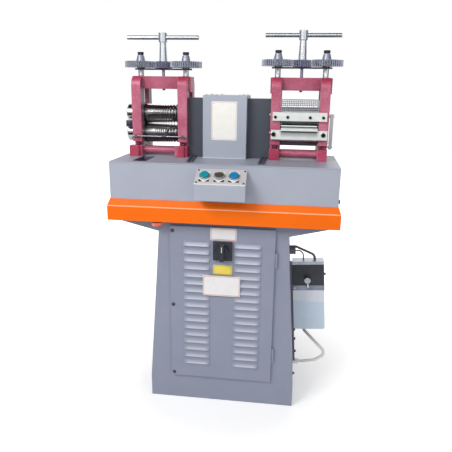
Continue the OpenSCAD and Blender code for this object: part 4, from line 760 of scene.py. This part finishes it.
# Painted highlight along the panel's lower edge.
tint(tree, edge_glint, "#F6F4F3")
tree.nodes["Principled BSDF"].inputs["Metallic"].default_value = 0.15
finish_of(["control_panel"], panel_metal)
slope = Matrix.Translation((0.002, -0.170, 0.859)) @ Matrix.Rotation(math.radians(31), 4, "X")
legend_white = moulded("engraved_laminate_white", "#EDEBE9", "#E0DEDC", 0.4, 2)
legend_black = moulded("engraved_laminate_black", "#2A292C", "#1E1D20", 0.4, 2)
button_x, button_step, panel_t = -0.0045, 0.0465, 0.0025
legends = bmesh.new()
for i in (-1, 0, 1):
    seat = slope @ Matrix.Translation((button_x + button_step * i, -0.0385, panel_t))
    plate(legends, 0.034, 0.050, 0.0009, 0.0015, seat)
    for side in (-1, 1):
        corner = [(side * 0.0163, -0.0243), (side * 0.0163, -0.0120), (side * 0.0030, -0.0243)]
        top = [legends.verts.new(seat @ Vector((x, y, 0.0012))) for x, y in corner]
        low = [legends.verts.new(seat @ Vector((x, y, 0.0006))) for x, y in corner]
        for loop in ([top[0], top[1], top[2]], [low[2], low[1], low[0]], [low[0], low[1], top[1], top[0]],
                     [low[1], low[2], top[2], top[1]], [low[2], low[0], top[0], top[2]]):
            legends.faces.new(loop).material_index = 1
piece("legend_plates", legends, [legend_white, legend_black], "base")
bezels = bmesh.new()
for i in (-1, 0, 1):
    seat = slope @ Matrix.Translation((button_x + button_step * i, -0.0365, panel_t))
    lathe(bezels, [(0.0166, 0.0010), (0.0172, 0.0010), (0.0172, 0.0040), (0.0168, 0.0056), (0.0155, 0.0060),
                   (0.0150, 0.0054)], seat, 48)
bezel_chrome = metal("satin_chrome_bezel", "#C6C8CC", "#A9ACB2", 0.32, (300, 300, 300))
piece("button_bezels", bezels, bezel_chrome, "base")
screws = bmesh.new()
for sx in (-1, 1):
    for y in (-0.0075, -0.0655):
        seat = slope @ Matrix.Translation((sx * 0.0735, y, panel_t))
        lathe(screws, [(0.0032, 0), (0.0030, 0.0010), (0.0018, 0.0016), (0, 0.0016)], seat, 20)
piece("panel_screws", screws, screw_black, "base")
finish_of(["start_button"], moulded("moulded_abs_teal", "#1C9AAE", "#148A9C", 0.22, 6))
finish_of(["stop_button"], moulded("moulded_abs_blue", "#1C8CC2", "#147EB2", 0.22, 6))
grip = moulded("moulded_abs_warm_grey", "#5A5250", "#463F3E", 0.35, 3)
tree = grip.node_tree
skirt_top = 0.0103
out = slope.to_3x3() @ Vector((0, 0, 1))
place = add(tree, "ShaderNodeTexCoord").outputs["Object"]
height = add(tree, "ShaderNodeVectorMath", {0: place, 1: out}, operation="DOT_PRODUCT").outputs["Value"]
edge = out.dot(slope.translation) + skirt_top
flat = add(tree, "ShaderNodeMath", {0: height, 1: edge}, operation="LESS_THAN").outputs[0]
tint(tree, flat, "#CFCCCB")
finish_of(["selector"], grip)

# Oil pump on the cabinet's right side: moulded tank under a black pump housing with a cast lid, carried by a
# steel bracket strip. Feed and vent pipes leave its lid, a return pipe runs from the tank to a gland.
# The oil's level shows through the tank's wall, and oil darkens the upper part of the return pipe.
side = Matrix.Translation((0.259, 0.015, 0.082)) @ Matrix.Rotation(-math.atan(39 / 554), 4, "Y")
finish_of(["pump_bracket"], enamel("sprayed_bracket_purple_grey", "#6E6878", "#5C5766", "#8C8696", 0.5, 3))
tank = moulded("blow_moulded_polyethylene", "#D0DCEA", "#C0CFE0", 0.35, 5)
tree = tank.node_tree
oil_level = 0.356
place = add(tree, "ShaderNodeTexCoord").outputs["Object"]
high = add(tree, "ShaderNodeSeparateXYZ", {0: place}).outputs[2]
band = add(tree, "ShaderNodeMapRange", {"Value": high, "From Min": oil_level,
                                        "From Max": oil_level + 0.008}).outputs[0]
tint(tree, band, "#DCE0EA")
tree.nodes["Principled BSDF"].inputs["Subsurface Weight"].default_value = 0.05
finish_of(["oil_tank"], tank)
finish_of(["pump_housing"], switch_black)
finish_of(["pump_lid"], metal("die_cast_aluminium", "#BEC1C8", "#A2A6AE", 0.48, (180, 180, 180)))
finish_of(["pump_knob"], metal("chromed_knob", "#A9ADB4", "#8A8E96", 0.26, (300, 30, 300), 0.002))
finish_of(["oil_pipes"], moulded("extruded_pipe_brown", "#6B5A58", "#574846", 0.4, 3))
hose = moulded("extruded_pipe_pale_grey", "#F0EDE9", "#E2DFDB", 0.4, 3)
tree = hose.node_tree
clean_z, oily_z = 0.155, 0.25
place = add(tree, "ShaderNodeTexCoord").outputs["Object"]
high = add(tree, "ShaderNodeSeparateXYZ", {0: place}).outputs[2]
oil_and_shadow = add(tree, "ShaderNodeMapRange", {"Value": high, "From Min": clean_z, "From Max": oily_z}).outputs[0]
tint(tree, oil_and_shadow, "#7F7D80")
finish_of(["return_pipe"], hose)
gland = moulded("moulded_gland_nylon", "#6A6472", "#5A5562", 0.45, 2)
tree = gland.node_tree
pale_top = 0.125
place = add(tree, "ShaderNodeTexCoord").outputs["Object"]
high = add(tree, "ShaderNodeSeparateXYZ", {0: place}).outputs[2]
pale = add(tree, "ShaderNodeMath", {0: high, 1: pale_top}, operation="LESS_THAN").outputs[0]
tint(tree, pale, "#F4F3F1")
finish_of(["glands"], gland)
flange_low, flange_high = 0.318, 0.3365
strip = bmesh.new()
for low, high in (((0.0080, -0.0237), (0.1216, -0.0230)), ((0.1209, -0.0237), (0.1216, 0.0237)),
                  ((0.0080, 0.0230), (0.1216, 0.0237))):
    block(strip, (*low, flange_low), (*high, flange_high), side)
flange_zinc = metal("zinc_plated_flange", "#8A90A0", "#6E7484", 0.4, (40, 600, 600))
piece("pump_flange", strip, flange_zinc, "base")
pin = bmesh.new()
plate(pin, 0.0085, 0.0180, 0.0060, 0.0042, side @ facing(0.0611, -0.0237, flange_high, "-Y"))
lathe(pin, [(0.0034, 0), (0.0034, 0.0020), (0.0026, 0.0028), (0, 0.0028)],
      side @ facing(0.0160, -0.0237, 0.3275, "-Y"), 20)
piece("pump_pin", pin, rivet_metal, "base")
stud = bmesh.new()
lathe(stud, [(0.0050, 0), (0.0050, 0.0030), (0.0036, 0.0030), (0.0036, 0.0062), (0.0028, 0.0070),
             (0, 0.0070)], side @ facing(0, -0.098, 0.024, "+X"), 24)
piece("cabinet_stud", stud, fastener_steel, "base")
bolts = bmesh.new()
for z in (0.060, 0.112, 0.150):
    seat = side @ facing(0.008, 0, z, "+X")
    lathe(bolts, [(0.0060, 0), (0.0060, 0.0010), (0.0050, 0.0010)], seat, 28)
    lathe(bolts, [(0.0050, 0.0008), (0.0050, 0.0042), (0.0044, 0.0048), (0, 0.0048)], seat, 6)
piece("bracket_bolts", bolts, screw_black, "base", 25)
